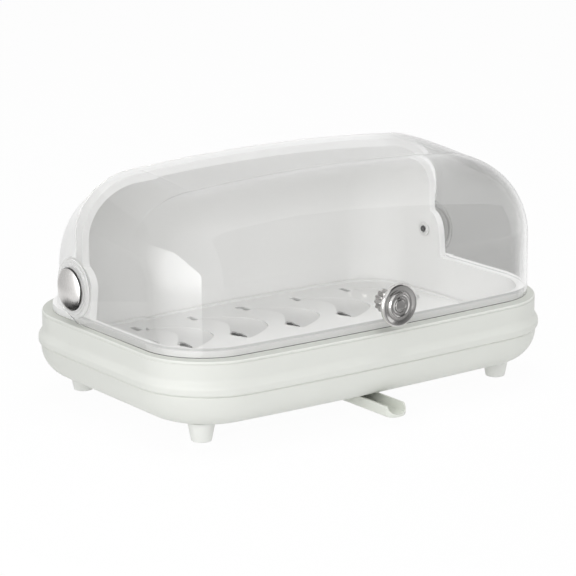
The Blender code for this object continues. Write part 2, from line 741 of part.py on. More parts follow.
def make_lid(material, parent):
    far = PIVOT_Y + EAR_RADIUS + OVERRUN
    outer = lid_dome("lid", 0, LID_FOOT, far)
    lid = place("lid", moved(outer, (0, -PIVOT_Y, -PIVOT_Z)), material, (0, PIVOT_Y, PIVOT_Z), parent=parent)
    hollow = lid_dome("lid_hollow", LID_WALL, LID_FOOT - OVERRUN, far + OVERRUN)
    combine(lid, guide("lid_hollow", hollow), "DIFFERENCE")

    sky = LID_TOP + OVERRUN
    floor = LID_FOOT - OVERRUN
    foot_end = PIVOT_Y - EAR_HEEL
    rear = [(LID_REAR_EDGE, sky)] + lid_rear_edge() + [(foot_end, LID_FOOT), (foot_end, floor)]
    beyond = far + OVERRUN + OVERRUN
    rear += [(beyond, floor), (beyond, sky)]
    reach = LID_HALF_LENGTH + OVERRUN
    combine(lid, guide("lid_rear_cut", extrude_side_profile("lid_rear_cut", rear, reach)), "DIFFERENCE")

    boss_inner = CAP_RADIUS + EAR_BOSS_MARGIN
    boss_outer = boss_inner + EAR_BOSS_STEP
    low = LID_HALF_LENGTH - LID_WALL / 2
    middle = LID_HALF_LENGTH + EAR_BOSS_TALL / 2
    high = LID_HALF_LENGTH + EAR_BOSS_TALL
    bosses = []
    for side in (-1, 1):
        profile = [
            (0, low), (boss_outer, low), (boss_outer, middle),
            (boss_inner, middle), (boss_inner, high), (0, high),
        ]
        mesh = turned("ear_boss", profile, ROUND_STEPS)
        mesh.transform(Matrix.Rotation(side * math.pi / 2, 4, "Y"))
        bosses.append(moved(mesh, (0, PIVOT_Y, PIVOT_Z)))
    combine(lid, guide("lid_ear_bosses", join_meshes("lid_ear_bosses", bosses)), "UNION")
    combine(lid, guide("lid_pivot_bore", pivot_bore()), "DIFFERENCE")
    through = LID_WALL + OVERRUN
    knob_hole = turned("knob_hole", axle_profile(KNOB_HOLE_RADIUS, -through, through), SMALL_STEPS)
    knob_spot = (0, KNOB_SEAT_Y, KNOB_HEIGHT)
    combine(lid, guide("lid_knob_hole", knob_hole, knob_spot, (math.pi / 2, 0, 0)), "DIFFERENCE")
    return lid


def axle_profile(radius, low, high):
    return [(0, low), (radius, low), (radius, high), (0, high)]


# Pivot hardware at both ends

def make_pivots(metal, plastic, steel):
    wall_inside = HOOD_HALF_LENGTH
    lid_face = LID_HALF_LENGTH + EAR_BOSS_TALL
    bore = BUSH_RADIUS - BUSH_WALL
    flange_in = wall_inside - TOUCH_GAP - BUSH_FLANGE
    flange_out = wall_inside - TOUCH_GAP
    bush_end = lid_face + TOUCH_GAP
    bush_profile = [
        (bore, flange_in), (BUSH_FLANGE_RADIUS, flange_in), (BUSH_FLANGE_RADIUS, flange_out),
        (BUSH_RADIUS, flange_out), (BUSH_RADIUS, bush_end), (bore, bush_end),
    ]
    stem = bore - TOUCH_GAP
    cap_back = bush_end + TOUCH_GAP
    stem_end = cap_back - CAP_STEM_REACH
    screw_hole = SCREW_SHANK + TOUCH_GAP
    hole_top = stem_end + SCREW_BITE
    cap_profile = [
        (0, hole_top), (screw_hole, hole_top), (screw_hole, stem_end), (stem, stem_end), (stem, cap_back),
        (CAP_RADIUS - CAP_EDGE / 2, cap_back), (CAP_RADIUS, cap_back + CAP_EDGE / 2),
        (CAP_RADIUS, cap_back + CAP_EDGE),
    ]
    for k in range(1, 7):
        angle = math.pi / 2 * k / 6
        height = cap_back + CAP_EDGE + CAP_DOME * math.sin(angle)
        cap_profile.append((CAP_RADIUS * math.cos(angle) if k < 6 else 0, height))
    head_top = flange_in - TOUCH_GAP
    head_face = head_top - SCREW_HEAD
    screw_end = hole_top - TOUCH_GAP
    recess = SCREW_HEAD_RADIUS / 2
    screw_profile = [
        (0, head_face + SCREW_RECESS), (recess, head_face + SCREW_RECESS), (recess, head_face),
        (SCREW_HEAD_RADIUS - SCREW_RECESS / 2, head_face), (SCREW_HEAD_RADIUS, head_face + SCREW_RECESS / 2),
        (SCREW_HEAD_RADIUS, head_top), (SCREW_SHANK, head_top), (SCREW_SHANK, screw_end), (0, screw_end),
    ]
    for side, name in ((-1, "left"), (1, "right")):
        turn = (0, side * math.pi / 2, 0)
        spot = (0, PIVOT_Y, PIVOT_Z)
        bush = turned("pivot_bush_" + name, bush_profile, SMALL_STEPS)
        place("pivot_bush_" + name, bush, plastic, spot, turn)
        cap = turned("pivot_cap_" + name, cap_profile)
        place("pivot_cap_" + name, cap, metal, spot, turn)
        screw = turned("pivot_screw_" + name, screw_profile, SMALL_STEPS)
        place("pivot_screw_" + name, screw, steel, spot, turn)


# Knob on the lid

# The knob's neck, then its stepped disc, as shares of the radius and length of each
KNOB_NECK_SHARES = [(1.25, 0.00), (1.00, 0.35), (1.15, 0.75)]
KNOB_DISC_SHARES = [
    (0.72, 0.06), (0.93, 0.25), (1.00, 0.50), (0.98, 0.81), (0.90, 0.95), (0.80, 0.87), (0.70, 0.75),
    (0.62, 0.75), (0.57, 1.00), (0.51, 1.00), (0.46, 0.87), (0.38, 0.87), (0.35, 0.96),
]
# How far the face beside the centre piece lies below the front, as a share of the disc
KNOB_STEP_SHARE = 0.04
# The centre piece's dished front, as shares of its radius and depth
KNOB_CENTRE_SHARES = [(1.00, 0.60), (0.85, 1.00), (0.50, 0.70), (0.00, 0.62)]


def make_knob(metal, steel, plastic, parent):
    spot = (0, KNOB_SEAT_Y, KNOB_HEIGHT)
    turn = (math.pi / 2, 0, 0)
    seat = TOUCH_GAP + LID_LEAN * KNOB_COLLAR_RADIUS
    collar_end = seat + KNOB_COLLAR_LENGTH
    collar_bore = KNOB_STUD_RADIUS + TOUCH_GAP
    edge = KNOB_FLUTE
    collar_profile = [
        (collar_bore, seat), (KNOB_COLLAR_RADIUS - edge, seat), (KNOB_COLLAR_RADIUS, seat + edge),
        (KNOB_COLLAR_RADIUS, collar_end - edge), (KNOB_COLLAR_RADIUS - edge, collar_end),
        (collar_bore, collar_end),
    ]
    collar = turned("knob_collar", collar_profile, KNOB_FLUTES * 3, KNOB_FLUTE, KNOB_FLUTES, collar_bore)
    place("knob_collar", collar, metal, spot, turn, parent)

    neck_start = collar_end + TOUCH_GAP
    disc_start = neck_start + KNOB_NECK_LENGTH
    disc_end = disc_start + KNOB_DISC
    pocket = KNOB_CENTRE_RADIUS + TOUCH_GAP
    pocket_floor = disc_end - KNOB_CENTRE_DEPTH
    hole = KNOB_SCREW_RADIUS + TOUCH_GAP
    hole_end = seat + KNOB_SCREW_BITE + TOUCH_GAP
    face_step = disc_end - KNOB_DISC * KNOB_STEP_SHARE
    body_profile = [
        (0, hole_end), (hole, hole_end), (hole, seat), (KNOB_STUD_RADIUS, seat),
        (KNOB_STUD_RADIUS, neck_start),
    ]
    for out, along in KNOB_NECK_SHARES:
        body_profile.append((KNOB_NECK_RADIUS * out, neck_start + KNOB_NECK_LENGTH * along))
    for out, along in KNOB_DISC_SHARES:
        body_profile.append((KNOB_DISC_RADIUS * out, disc_start + KNOB_DISC * along))
    body_profile += [(pocket, face_step), (pocket, pocket_floor), (0, pocket_floor)]
    place("knob_body", turned("knob_body", body_profile), metal, spot, turn, parent)

    centre_low = pocket_floor + TOUCH_GAP
    centre_profile = [(0, centre_low), (KNOB_CENTRE_RADIUS, centre_low)]
    for out, along in KNOB_CENTRE_SHARES:
        centre_profile.append((KNOB_CENTRE_RADIUS * out, centre_low + (disc_end - centre_low) * along))
    place("knob_centre", turned("knob_centre", centre_profile, SMALL_STEPS), metal, spot, turn, parent)

    washer_top = -LID_WALL - seat
    washer_low = washer_top - KNOB_WASHER
    washer_profile = [
        (KNOB_HOLE_RADIUS, washer_low), (KNOB_WASHER_RADIUS, washer_low), (KNOB_WASHER_RADIUS, washer_top),
        (KNOB_HOLE_RADIUS, washer_top),
    ]
    place("knob_washer", turned("knob_washer", washer_profile, SMALL_STEPS), plastic, spot, turn, parent)
    head_top = washer_low - TOUCH_GAP
    head_low = head_top - KNOB_SCREW_HEAD
    recess = KNOB_SCREW_HEAD_RADIUS / 2
    deep = head_low + KNOB_SCREW_HEAD / 2
    bevelled = KNOB_SCREW_HEAD_RADIUS - KNOB_SCREW_HEAD / 2
    screw_profile = [
        (0, deep), (recess, deep), (recess, head_low), (bevelled, head_low),
        (KNOB_SCREW_HEAD_RADIUS, deep), (KNOB_SCREW_HEAD_RADIUS, head_top), (KNOB_SCREW_RADIUS, head_top),
        (KNOB_SCREW_RADIUS, hole_end - TOUCH_GAP), (0, hole_end - TOUCH_GAP),
    ]
    place("knob_screw", turned("knob_screw", screw_profile, SMALL_STEPS), steel, spot, turn, parent)


# Drip tray

# Cross-sections of a scoop from its tail to its head: where its left and right edges lie, as shares
# of the scoop's width and length, then the shares of its full depth at the left and right edges
SCOOP_SHARES = [
    (0.00, 0.00, 0.08, 0.00, 0.10, 0.10), (0.15, 0.09, 0.30, 0.04, 0.15, 0.00),
    (0.24, 0.19, 0.56, 0.12, 0.25, 0.00), (0.29, 0.29, 0.78, 0.24, 0.38, 0.00),
    (0.28, 0.40, 0.94, 0.38, 0.55, 0.00), (0.20, 0.50, 1.00, 0.52, 0.80, 0.10),
    (0.07, 0.61, 0.95, 0.64, 1.00, 0.30), (-0.05, 0.70, 0.86, 0.72, 1.00, 0.40),
    (-0.16, 0.78, 0.72, 0.79, 1.00, 0.45), (-0.10, 0.88, 0.44, 0.89, 1.00, 0.50),
    (-0.03, 1.00, 0.08, 0.99, 0.90, 0.80),
]
SCOOP_FLOOR_SHARES = (0.0, 0.3, 0.62, 1.0)
# Corners of the drain hole in a scoop's deep side, as shares of the scoop's width and length
DRAIN_SHARES = [(0.29, 0.475), (-0.11, 0.77), (-0.02, 0.95), (0.22, 0.805), (0.36, 0.50)]


def scoop_mesh(name, wall, top):
    """One comma shaped hollow, deep along its left side, as a closed body grown outwards by wall."""
    loops = []
    last = len(SCOOP_SHARES) - 1
    for k, (left_x, left_y, right_x, right_y, left_deep, right_deep) in enumerate(SCOOP_SHARES):
        left = Vector((left_x * SCOOP_WIDTH, -left_y * SCOOP_LENGTH))
        right = Vector((right_x * SCOOP_WIDTH, -right_y * SCOOP_LENGTH))
        across = (right - left).normalized() * wall
        along = Vector((0, 0))
        if k == 0:
            along.y = wall
        elif k == last:
            along.y = -wall
        left = left - across + along
        right = right + across + along
        loop = [(left.x, left.y, top), (right.x, right.y, top)]
        for share in reversed(SCOOP_FLOOR_SHARES):
            spot = left.lerp(right, share)
            deep = right_deep + (left_deep - right_deep) * math.cos(math.pi / 2 * share)
            drop = SCOOP_EDGE_DEPTH + (SCOOP_DEPTH - SCOOP_EDGE_DEPTH) * deep
            loop.append((spot.x, spot.y, TRAY_TOP - drop - wall))
        loops.append(loop)
    return loft(name, loops, smooth=False)


def make_tray(material, parent):
    inside = -TRAY_CLEAR - TRAY_RIM
    rim_top = TRAY_TOP + TRAY_RIM_TALL
    loops = [
        hood_loop(-TRAY_CLEAR, TRAY_BOTTOM), hood_loop(-TRAY_CLEAR, rim_top),
        hood_loop(inside, rim_top), hood_loop(inside, TRAY_TOP),
    ]
    tray = place("drip_tray", loft("drip_tray", loops), material, parent=parent)
    shells = []
    hollows = []
    openings = []
    for row in range(SCOOP_ROWS):
        for column in range(SCOOP_COLUMNS):
            x = SCOOP_FIRST_X + column * SCOOP_PITCH_X
            y = SCOOP_FIRST_Y - row * SCOOP_PITCH_Y
            left = x + SLOT_WIDTH
            start = y - SCOOP_LEAD
            shell_top = TRAY_BOTTOM + TRAY_FLOOR / 2
            shells.append(moved(scoop_mesh("shell", SCOOP_WALL, shell_top), (left, start, 0)))
            hollows.append(moved(scoop_mesh("hollow", 0, TRAY_TOP + OVERRUN), (left, start, 0)))
            low = TRAY_TOP - SCOOP_DEPTH - OVERRUN
            high = TRAY_TOP + OVERRUN
            drain_loops = []
            for z in (low, high):
                loop = []
                for out, along in DRAIN_SHARES:
                    loop.append((left + out * SCOOP_WIDTH, start - along * SCOOP_LENGTH, z))
                drain_loops.append(loop)
            openings.append(loft("drain", drain_loops, smooth=False))
            slot_low = (x - SLOT_WIDTH / 2, y - SLOT_LENGTH / 2, low)
            slot_high = (x + SLOT_WIDTH / 2, y + SLOT_LENGTH / 2, high)
            openings.append(block("slot", slot_low, slot_high))
    combine(tray, guide("tray_shells", join_meshes("tray_shells", shells)), "UNION")
    combine(tray, guide("tray_hollows", join_meshes("tray_hollows", hollows)), "DIFFERENCE")
    combine(tray, guide("tray_openings", join_meshes("tray_openings", openings)), "DIFFERENCE")
    return tray


# Drain spout and rails

def make_spout(material, parent):
    half = SPOUT_HALF_WIDTH
    tip_round = []
    for k in range(5):
        angle = math.pi / 2 * k / 4
        x = half - SPOUT_TIP_ROUND * (1 - math.sin(angle))
        tip_round.append((x, SPOUT_TIP + SPOUT_TIP_ROUND * (1 - math.cos(angle))))
    right = [(x, y) for x, y in tip_round]
    left = [(-x, y) for x, y in reversed(tip_round)]
    outline = left + right + [(half, SPOUT_REAR), (-half, SPOUT_REAR)]
    loops = [[(x, y, z) for x, y in outline] for z in (SPOUT_BOTTOM, SPOUT_TOP)]
    body = loft("drain_spout", loops, smooth=False)
    spout = place("drain_spout", body, material, parent=parent)
    inner = half - SPOUT_WALL
    channel = block("channel", (-inner, SPOUT_TIP - OVERRUN, SPOUT_BOTTOM + SPOUT_WALL),
                    (inner, SPOUT_REAR - SPOUT_WALL, SPOUT_TOP + OVERRUN))
    flanges = []
    for side in (-1, 1):
        ends = sorted((side * (half - SPOUT_WALL / 2), side * (half + FLANGE_WIDTH)))
        low = (ends[0], SPOUT_REAR - FLANGE_LENGTH, SPOUT_TOP - FLANGE_THICKNESS)
        flanges.append(block("flange", low, (ends[1], SPOUT_REAR - SPOUT_WALL / 2, SPOUT_TOP - TOUCH_GAP)))
    combine(spout, guide("spout_flanges", join_meshes("spout_flanges", flanges)), "UNION")
    combine(spout, guide("spout_channel", channel), "DIFFERENCE")
    lip = SPOUT_BOTTOM + SPOUT_WALL + SPOUT_LIP
    sky = SPOUT_TOP + OVERRUN
    ends = [
        (SPOUT_TIP - OVERRUN, lip), (SPOUT_TIP, lip), (SPOUT_TIP + SPOUT_SLANT, SPOUT_TOP),
        (SPOUT_TIP + SPOUT_SLANT, sky), (SPOUT_TIP - OVERRUN, sky),
    ]
    slant = extrude_side_profile("spout_slant", ends, half + OVERRUN)
    combine(spout, guide("spout_slant", slant), "DIFFERENCE")
    return spout


def make_rails(material, steel):
    top = FOOT_TOP
    web_in = rail_web_inside()
    web_out = web_in + RAIL_WEB
    wing_out = rail_wing_outside()
    foot_top = SPOUT_TOP - FLANGE_THICKNESS - TOUCH_GAP
    foot_low = foot_top - RAIL_FOOT
    foot_in = SPOUT_HALF_WIDTH + RUNNING_GAP
    section = [
        (foot_in, foot_low), (web_out, foot_low), (web_out, top - RAIL_TOP), (wing_out, top - RAIL_TOP),
        (wing_out, top), (web_in, top), (web_in, foot_top), (foot_in, foot_top),
    ]
    hole = SCREW_SHANK + TOUCH_GAP
    head_top = top - RAIL_TOP - TOUCH_GAP
    head_low = head_top - SCREW_HEAD
    recess = SCREW_HEAD_RADIUS / 2
    screw_profile = [
        (0, head_low + SCREW_RECESS), (recess, head_low + SCREW_RECESS), (recess, head_low),
        (SCREW_HEAD_RADIUS - SCREW_RECESS / 2, head_low), (SCREW_HEAD_RADIUS, head_low + SCREW_RECESS / 2),
        (SCREW_HEAD_RADIUS, head_top), (SCREW_SHANK, head_top), (SCREW_SHANK, rail_screw_top()),
        (0, rail_screw_top()),
    ]
    for side, name in ((-1, "left"), (1, "right")):
        loops = [[(side * x, y, z) for x, z in section] for y in (RAIL_FRONT, RAIL_FRONT + RAIL_LENGTH)]
        rail = place("spout_rail_" + name, loft("spout_rail_" + name, loops, smooth=False), material)
        spots = [spot for spot in rail_screw_places() if spot[0] * side > 0]
        holes = [hole_mesh(x, y, hole, foot_low, top + OVERRUN) for x, y in spots]
        combine(rail, guide("rail_holes_" + name, join_meshes("rail_holes_" + name, holes)), "DIFFERENCE")
        for end, (x, y) in zip(("front", "rear"), spots):
            screw = turned("rail_screw_" + name + "_" + end, screw_profile, SMALL_STEPS)
            place("rail_screw_" + name + "_" + end, screw, steel, (x, y, 0))


def empty(name, location):
    item = bpy.data.objects.new(name, None)
    bpy.context.collection.objects.link(item)
    item.location = location
    return item


def move_to_origin():
    """Moves every piece that hangs on no other, with all that hangs on it."""
    for item in bpy.data.objects:
        if item.parent is None:
            item.location.y += ORIGIN_MOVE_Y


def main():
    clear_scene()
    white = make_material("hood_white", (0.86, 0.86, 0.85), 0.38)
    ivory = make_material("base_ivory", (0.83, 0.84, 0.80), 0.42)
    grey = make_material("tray_grey_white", (0.78, 0.78, 0.77), 0.42)
    clear = make_material("lid_clear", (0.95, 0.96, 0.96), 0.05, transmission=1.0)
    satin = make_material("satin_nickel", (0.62, 0.60, 0.58), 0.28, metallic=1.0)
    steel = make_material("screw_steel", (0.50, 0.50, 0.50), 0.35, metallic=1.0)
    plastic = make_material("bush_white", (0.82, 0.82, 0.81), 0.45)
    rubber = make_material("pad_rubber", (0.72, 0.73, 0.70), 0.75)

    lid_axis = empty("lid_axis", (0, PIVOT_Y, PIVOT_Z))
    tray_seat = empty("tray_seat", (0, 0, 0))
    spout_track = empty("spout_track", (0, 0, 0))

    make_base(ivory)
    make_feet(ivory, rubber)
    make_hood(white)
    make_lid(clear, lid_axis)
    make_pivots(satin, plastic, steel)
    make_knob(satin, steel, plastic, lid_axis)
    make_tray(grey, tray_seat)
    make_spout(ivory, spout_track)
    make_rails(ivory, steel)
    move_to_origin()


main()
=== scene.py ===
"""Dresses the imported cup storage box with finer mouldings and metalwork, materials, lights and a camera.

Lengths are in metres. The shapes are laid out from the middle of the base and then moved into
the row's frame, whose origin is under the middle of the whole outline.
"""
import math

import bmesh
import bpy
from mathutils import Matrix, Vector

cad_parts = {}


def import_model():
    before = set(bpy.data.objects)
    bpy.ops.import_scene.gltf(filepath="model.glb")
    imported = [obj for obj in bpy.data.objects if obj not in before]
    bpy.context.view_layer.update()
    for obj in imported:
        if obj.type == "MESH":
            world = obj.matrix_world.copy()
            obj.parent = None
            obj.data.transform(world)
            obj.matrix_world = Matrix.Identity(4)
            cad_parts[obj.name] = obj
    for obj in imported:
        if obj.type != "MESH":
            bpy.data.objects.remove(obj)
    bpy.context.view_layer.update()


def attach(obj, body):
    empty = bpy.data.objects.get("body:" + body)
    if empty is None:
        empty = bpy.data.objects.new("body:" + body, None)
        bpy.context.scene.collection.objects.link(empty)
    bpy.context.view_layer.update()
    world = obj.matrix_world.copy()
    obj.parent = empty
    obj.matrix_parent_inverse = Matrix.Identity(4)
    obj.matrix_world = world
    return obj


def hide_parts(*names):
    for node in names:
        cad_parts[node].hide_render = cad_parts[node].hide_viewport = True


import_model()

# Where the base's middle lies in the row's frame
SHIFT = Vector((0.0, 0.005425, 0.0))

# Plan of the base
HALF_LENGTH = 0.200
HALF_WIDTH = 0.12975
BASE_CORNER = 0.062
SIDE_BOW = 0.0064
BASE_BOTTOM = 0.017
BASE_BELLY = 0.027
BASE_WALL = 0.003
LEDGE_HEIGHT = 0.0745
LEDGE_ROUND = 0.0021
LEDGE_SEAM = 0.0720
BEAD_LOW = 0.0458
BEAD_UNDER = 0.0026
BEAD_TALL = 0.0052
BEAD_PROUD = 0.0035
BELLY_INSET = 0.0022
FLARE_TALL = 0.008
FOOT_X = 0.1547
FOOT_Y = 0.0886

# Radius and top of the posts in the basin, and of the holes in them
FOOT_POST = (0.0078, 0.0273)
FOOT_HOLE = (0.0043, 0.0243)
SCREW_POST = (0.0052, 0.0262)
SCREW_HOLE = (0.0017, 0.0235)
RAIL_SCREW_X = 0.0193
RAIL_SCREW_ROWS = (-0.088, -0.032)
RAIL_ENDS = (-0.100, -0.020)
DRAIN_Y = -0.062
DRAIN_OUTER = 0.007
DRAIN_BORE = 0.005

# Lid
LID_HALF_LENGTH = 0.1915
LID_HALF_WIDTH = 0.11775
LID_CORNER = 0.05175
LID_WALL = 0.0026
LID_FOOT = 0.075
LID_CROWN = 0.011
LID_ROOF_FALL = 0.0057
LID_SHOULDER = 0.048
LID_SHOULDER_WIDE = 0.0605
LID_BROW_Z = 0.125
LID_BROW_RADIUS = 0.0723
LID_CREASE_Y = -0.0415
LID_DRAFT = 0.0008
LID_REAR_EDGE = 0.0372
LID_TOP = 0.203
EAR_RADIUS = 0.0262
EAR_BOSS_TALL = 0.0024
EAR_BOSS_RADIUS = 0.0244
EAR_STEP_RADIUS = 0.0214

# Hood
HOOD_HALF_LENGTH = 0.1817
HOOD_HALF_WIDTH = 0.10795
HOOD_CORNER = 0.04195
HOOD_SHOULDER_WIDE = 0.0510
HOOD_TAPER = 0.0028
HOOD_AXIS = (0.0325, 0.10865)
HOOD_RADIUS = 0.08185
HOOD_CROWN = 0.0102
HOOD_WALL = 0.003
RING_THICKNESS = 0.0067
RING_BOTTOM = 0.0748
RING_TOP = 0.0805
RIM_THICKNESS = 0.0064
RIM_FRONT = 0.0335
RIM_DEPTH = 0.008
SKIRT_WALL = 0.0028
SKIRT_BOTTOM = 0.040
LIP_WIDTH = 0.005
LIP_TOP = 0.0425

# Pivot and knob
PIVOT = (0.040, 0.104)
PIVOT_BOSS_RADIUS = 0.020
PIVOT_BORE = 0.0053
KNOB_HEIGHT = 0.099
KNOB_SEAT_Y = -0.123766
KNOB_HOLE = 0.0021

# Tray
TRAY_BOTTOM = 0.0428
TRAY_TOP = 0.0448
TRAY_CLEAR = 0.0008
TRAY_RIM_TALL = 0.0022
TRAY_RIM_WALL = 0.002
TRAY_COLUMNS = 6
TRAY_ROWS = 2
COLUMN_PITCH = 0.0563
ROW_PITCH = 0.1053
FIRST_SLOT = (-0.1555, 0.0886)
SLOT_HALF = (0.0028, 0.0065)
SCOOP_START = (0.0045, -0.0035)
SCOOP_WALL = 0.0014

# Division counts
CORNER_STEPS = 18
SIDE_STEPS = 28
DOME_STEPS = 22
ROUND_STEPS = 72
SMALL_STEPS = 40
FINE_STEPS = 96

# How far a cutting shape reaches past what it cuts
PAST = 0.004

WHITE = (1.0, 1.0, 1.0, 1.0)


# Shader building

class Signal:
    """A socket's value in a material, with the usual sums. Numbers stay numbers until they meet one."""

    def __init__(self, finish, socket):
        self.finish = finish
        self.socket = socket

    def sum(self, operation, first, second=0.0):
        return self.finish.node("ShaderNodeMath", {"operation": operation}, {0: first, 1: second})

    def __add__(self, other):
        return self.sum("ADD", self, other)

    def __radd__(self, other):
        return self.sum("ADD", other, self)

    def __sub__(self, other):
        return self.sum("SUBTRACT", self, other)

    def __rsub__(self, other):
        return self.sum("SUBTRACT", other, self)

    def __mul__(self, other):
        return self.sum("MULTIPLY", self, other)

    def __pow__(self, other):
        return self.sum("POWER", self, other)

    def wave(self):
        return self.sum("SINE", self)

    def most(self, other):
        return self.sum("MAXIMUM", self, other)

    def over(self, other):
        return self.sum("GREATER_THAN", self, other)


class Finish:
    """A material or world being built, with one method for every kind of node."""

    def __init__(self, name, world=False):
        self.holder = bpy.data.worlds.new(name) if world else bpy.data.materials.new(name)
        self.holder.use_nodes = True
        self.tree = self.holder.node_tree
        self.tree.nodes.clear()
        self.end = "ShaderNodeOutputWorld" if world else "ShaderNodeOutputMaterial"

    def node(self, kind, settings=None, inputs=None, output=0):
        made = self.tree.nodes.new(kind)
        for key, value in (settings or {}).items():
            if key == "stops":
                ramp = made.color_ramp
                while len(ramp.elements) < len(value):
                    ramp.elements.new(0.5)
                for element, (spot, shade) in zip(ramp.elements, value):
                    element.position = spot
                    element.color = (shade, shade, shade, 1.0)
            else:
                setattr(made, key, value)
        for key, value in (inputs or {}).items():
            if isinstance(value, Signal):
                self.tree.links.new(value.socket, made.inputs[key])
            else:
                made.inputs[key].default_value = value
        return Signal(self, made.outputs[output]) if made.outputs else None

    def place(self):
        return self.node("ShaderNodeTexCoord", output="Object")

    def axis(self, name):
        return self.node("ShaderNodeSeparateXYZ", None, {0: self.place()}, output=name)

    def stretched(self, scale):
        return self.node("ShaderNodeMapping", None, {"Vector": self.place(), "Scale": scale})

    def noise(self, scale, detail=2.0, rough=0.5, where=None):
        inputs = {"Scale": scale, "Detail": detail, "Roughness": rough, "Vector": where or self.place()}
        return self.node("ShaderNodeTexNoise", None, inputs, output=0)

    def ramp(self, value, stops):
        return self.node("ShaderNodeValToRGB", {"stops": stops}, {0: value}, output=0)

    def mix_colour(self, factor, one, two):
        return self.node(
            "ShaderNodeMix", {"data_type": "RGBA", "clamp_factor": True},
            {0: factor, 6: as_colour(one), 7: as_colour(two)}, output=2,
        )

    def bump(self, height, distance, strength=1.0, after=None):
        inputs = {"Height": height, "Distance": distance, "Strength": strength}
        if after is not None:
            inputs["Normal"] = after
        return self.node("ShaderNodeBump", None, inputs)

    def shader(self, inputs):
        return self.node("ShaderNodeBsdfPrincipled", None, inputs)

    def ray(self, kind):
        return self.node("ShaderNodeLightPath", output="Is " + kind + " Ray")

    def blended(self, factor, one, two):
        return self.node("ShaderNodeMixShader", None, {0: factor, 1: one, 2: two})

    def done(self, surface):
        self.node(self.end, None, {"Surface": surface})
        return self.holder


def as_colour(value):
    if isinstance(value, Signal):
        return value
    return (*value, 1.0)


def moulded_plastic(
    name, light, dark, rough=0.4, grime=0.5, coat=0.15, gloss=0.45, hollow=None, ledge=None,
):
    """Satin moulded plastic: faint flow marks, fine skin, soft scuffs and a trace of dust low down.

    hollow = (height, depth, colour) of painted shade in the hollows below a face, darker with depth.
    ledge = (height, colour) of painted shade on the top face, beside the lid's foot.
    """
    finish = Finish(name)
    cloud = finish.noise(9.0, 3.0, 0.55)
    flow = finish.noise(26.0, 2.0, 0.5, finish.stretched((1.0, 0.35, 0.6)))
    skin = finish.noise(1900.0, 1.0, 0.4)
    rubbing = finish.noise(240.0, 4.0, 0.75, finish.stretched((1.0, 0.12, 0.5)))
    scuffs = finish.ramp(rubbing, [(0.66, 0.0), (0.74, 1.0)])
    dust = finish.ramp(finish.axis("Z"), [(0.0, 1.0), (0.045, 0.25), (0.08, 0.0)])
    dust = dust * finish.ramp(finish.noise(38.0, 5.0, 0.62), [(0.35, 0.1), (0.7, 1.0)])
    shade = cloud * 0.55 + flow * 0.25 + dust * grime * 0.45 + scuffs * 0.10
    colour = finish.mix_colour(shade - 0.25, light, dark)
    if hollow:
        face, deep, marks = hollow
        # Painted shade in the hollows: darker the deeper a point lies below the face.
        share = (face - finish.axis("Z")) * (1.0 / deep)
        sunk_shade = finish.ramp(share, [(0.08, 0.0), (0.40, 0.35), (1.0, 1.0)])
        colour = finish.mix_colour(sunk_shade, colour, marks)
    if ledge:
        # Painted shade on the top face, in patches.
        ledge_shade_mask = finish.axis("Z").over(ledge[0]) * (0.7 + cloud * 0.6)
        colour = finish.mix_colour(ledge_shade_mask, colour, ledge[1])
    roughness = rough + (cloud - 0.5) * 0.10 + (flow - 0.5) * 0.05 + scuffs * 0.10 + dust * 0.08
    normal = finish.bump(skin, 0.00002, 0.35)
    normal = finish.bump(flow, 0.00035, 0.20, normal)
    surface = finish.shader({
        "Base Color": colour, "Roughness": roughness, "Normal": normal, "IOR": 1.50,
        "Coat Weight": coat, "Coat Roughness": 0.25, "Specular IOR Level": gloss,
    })
    return finish.done(surface)


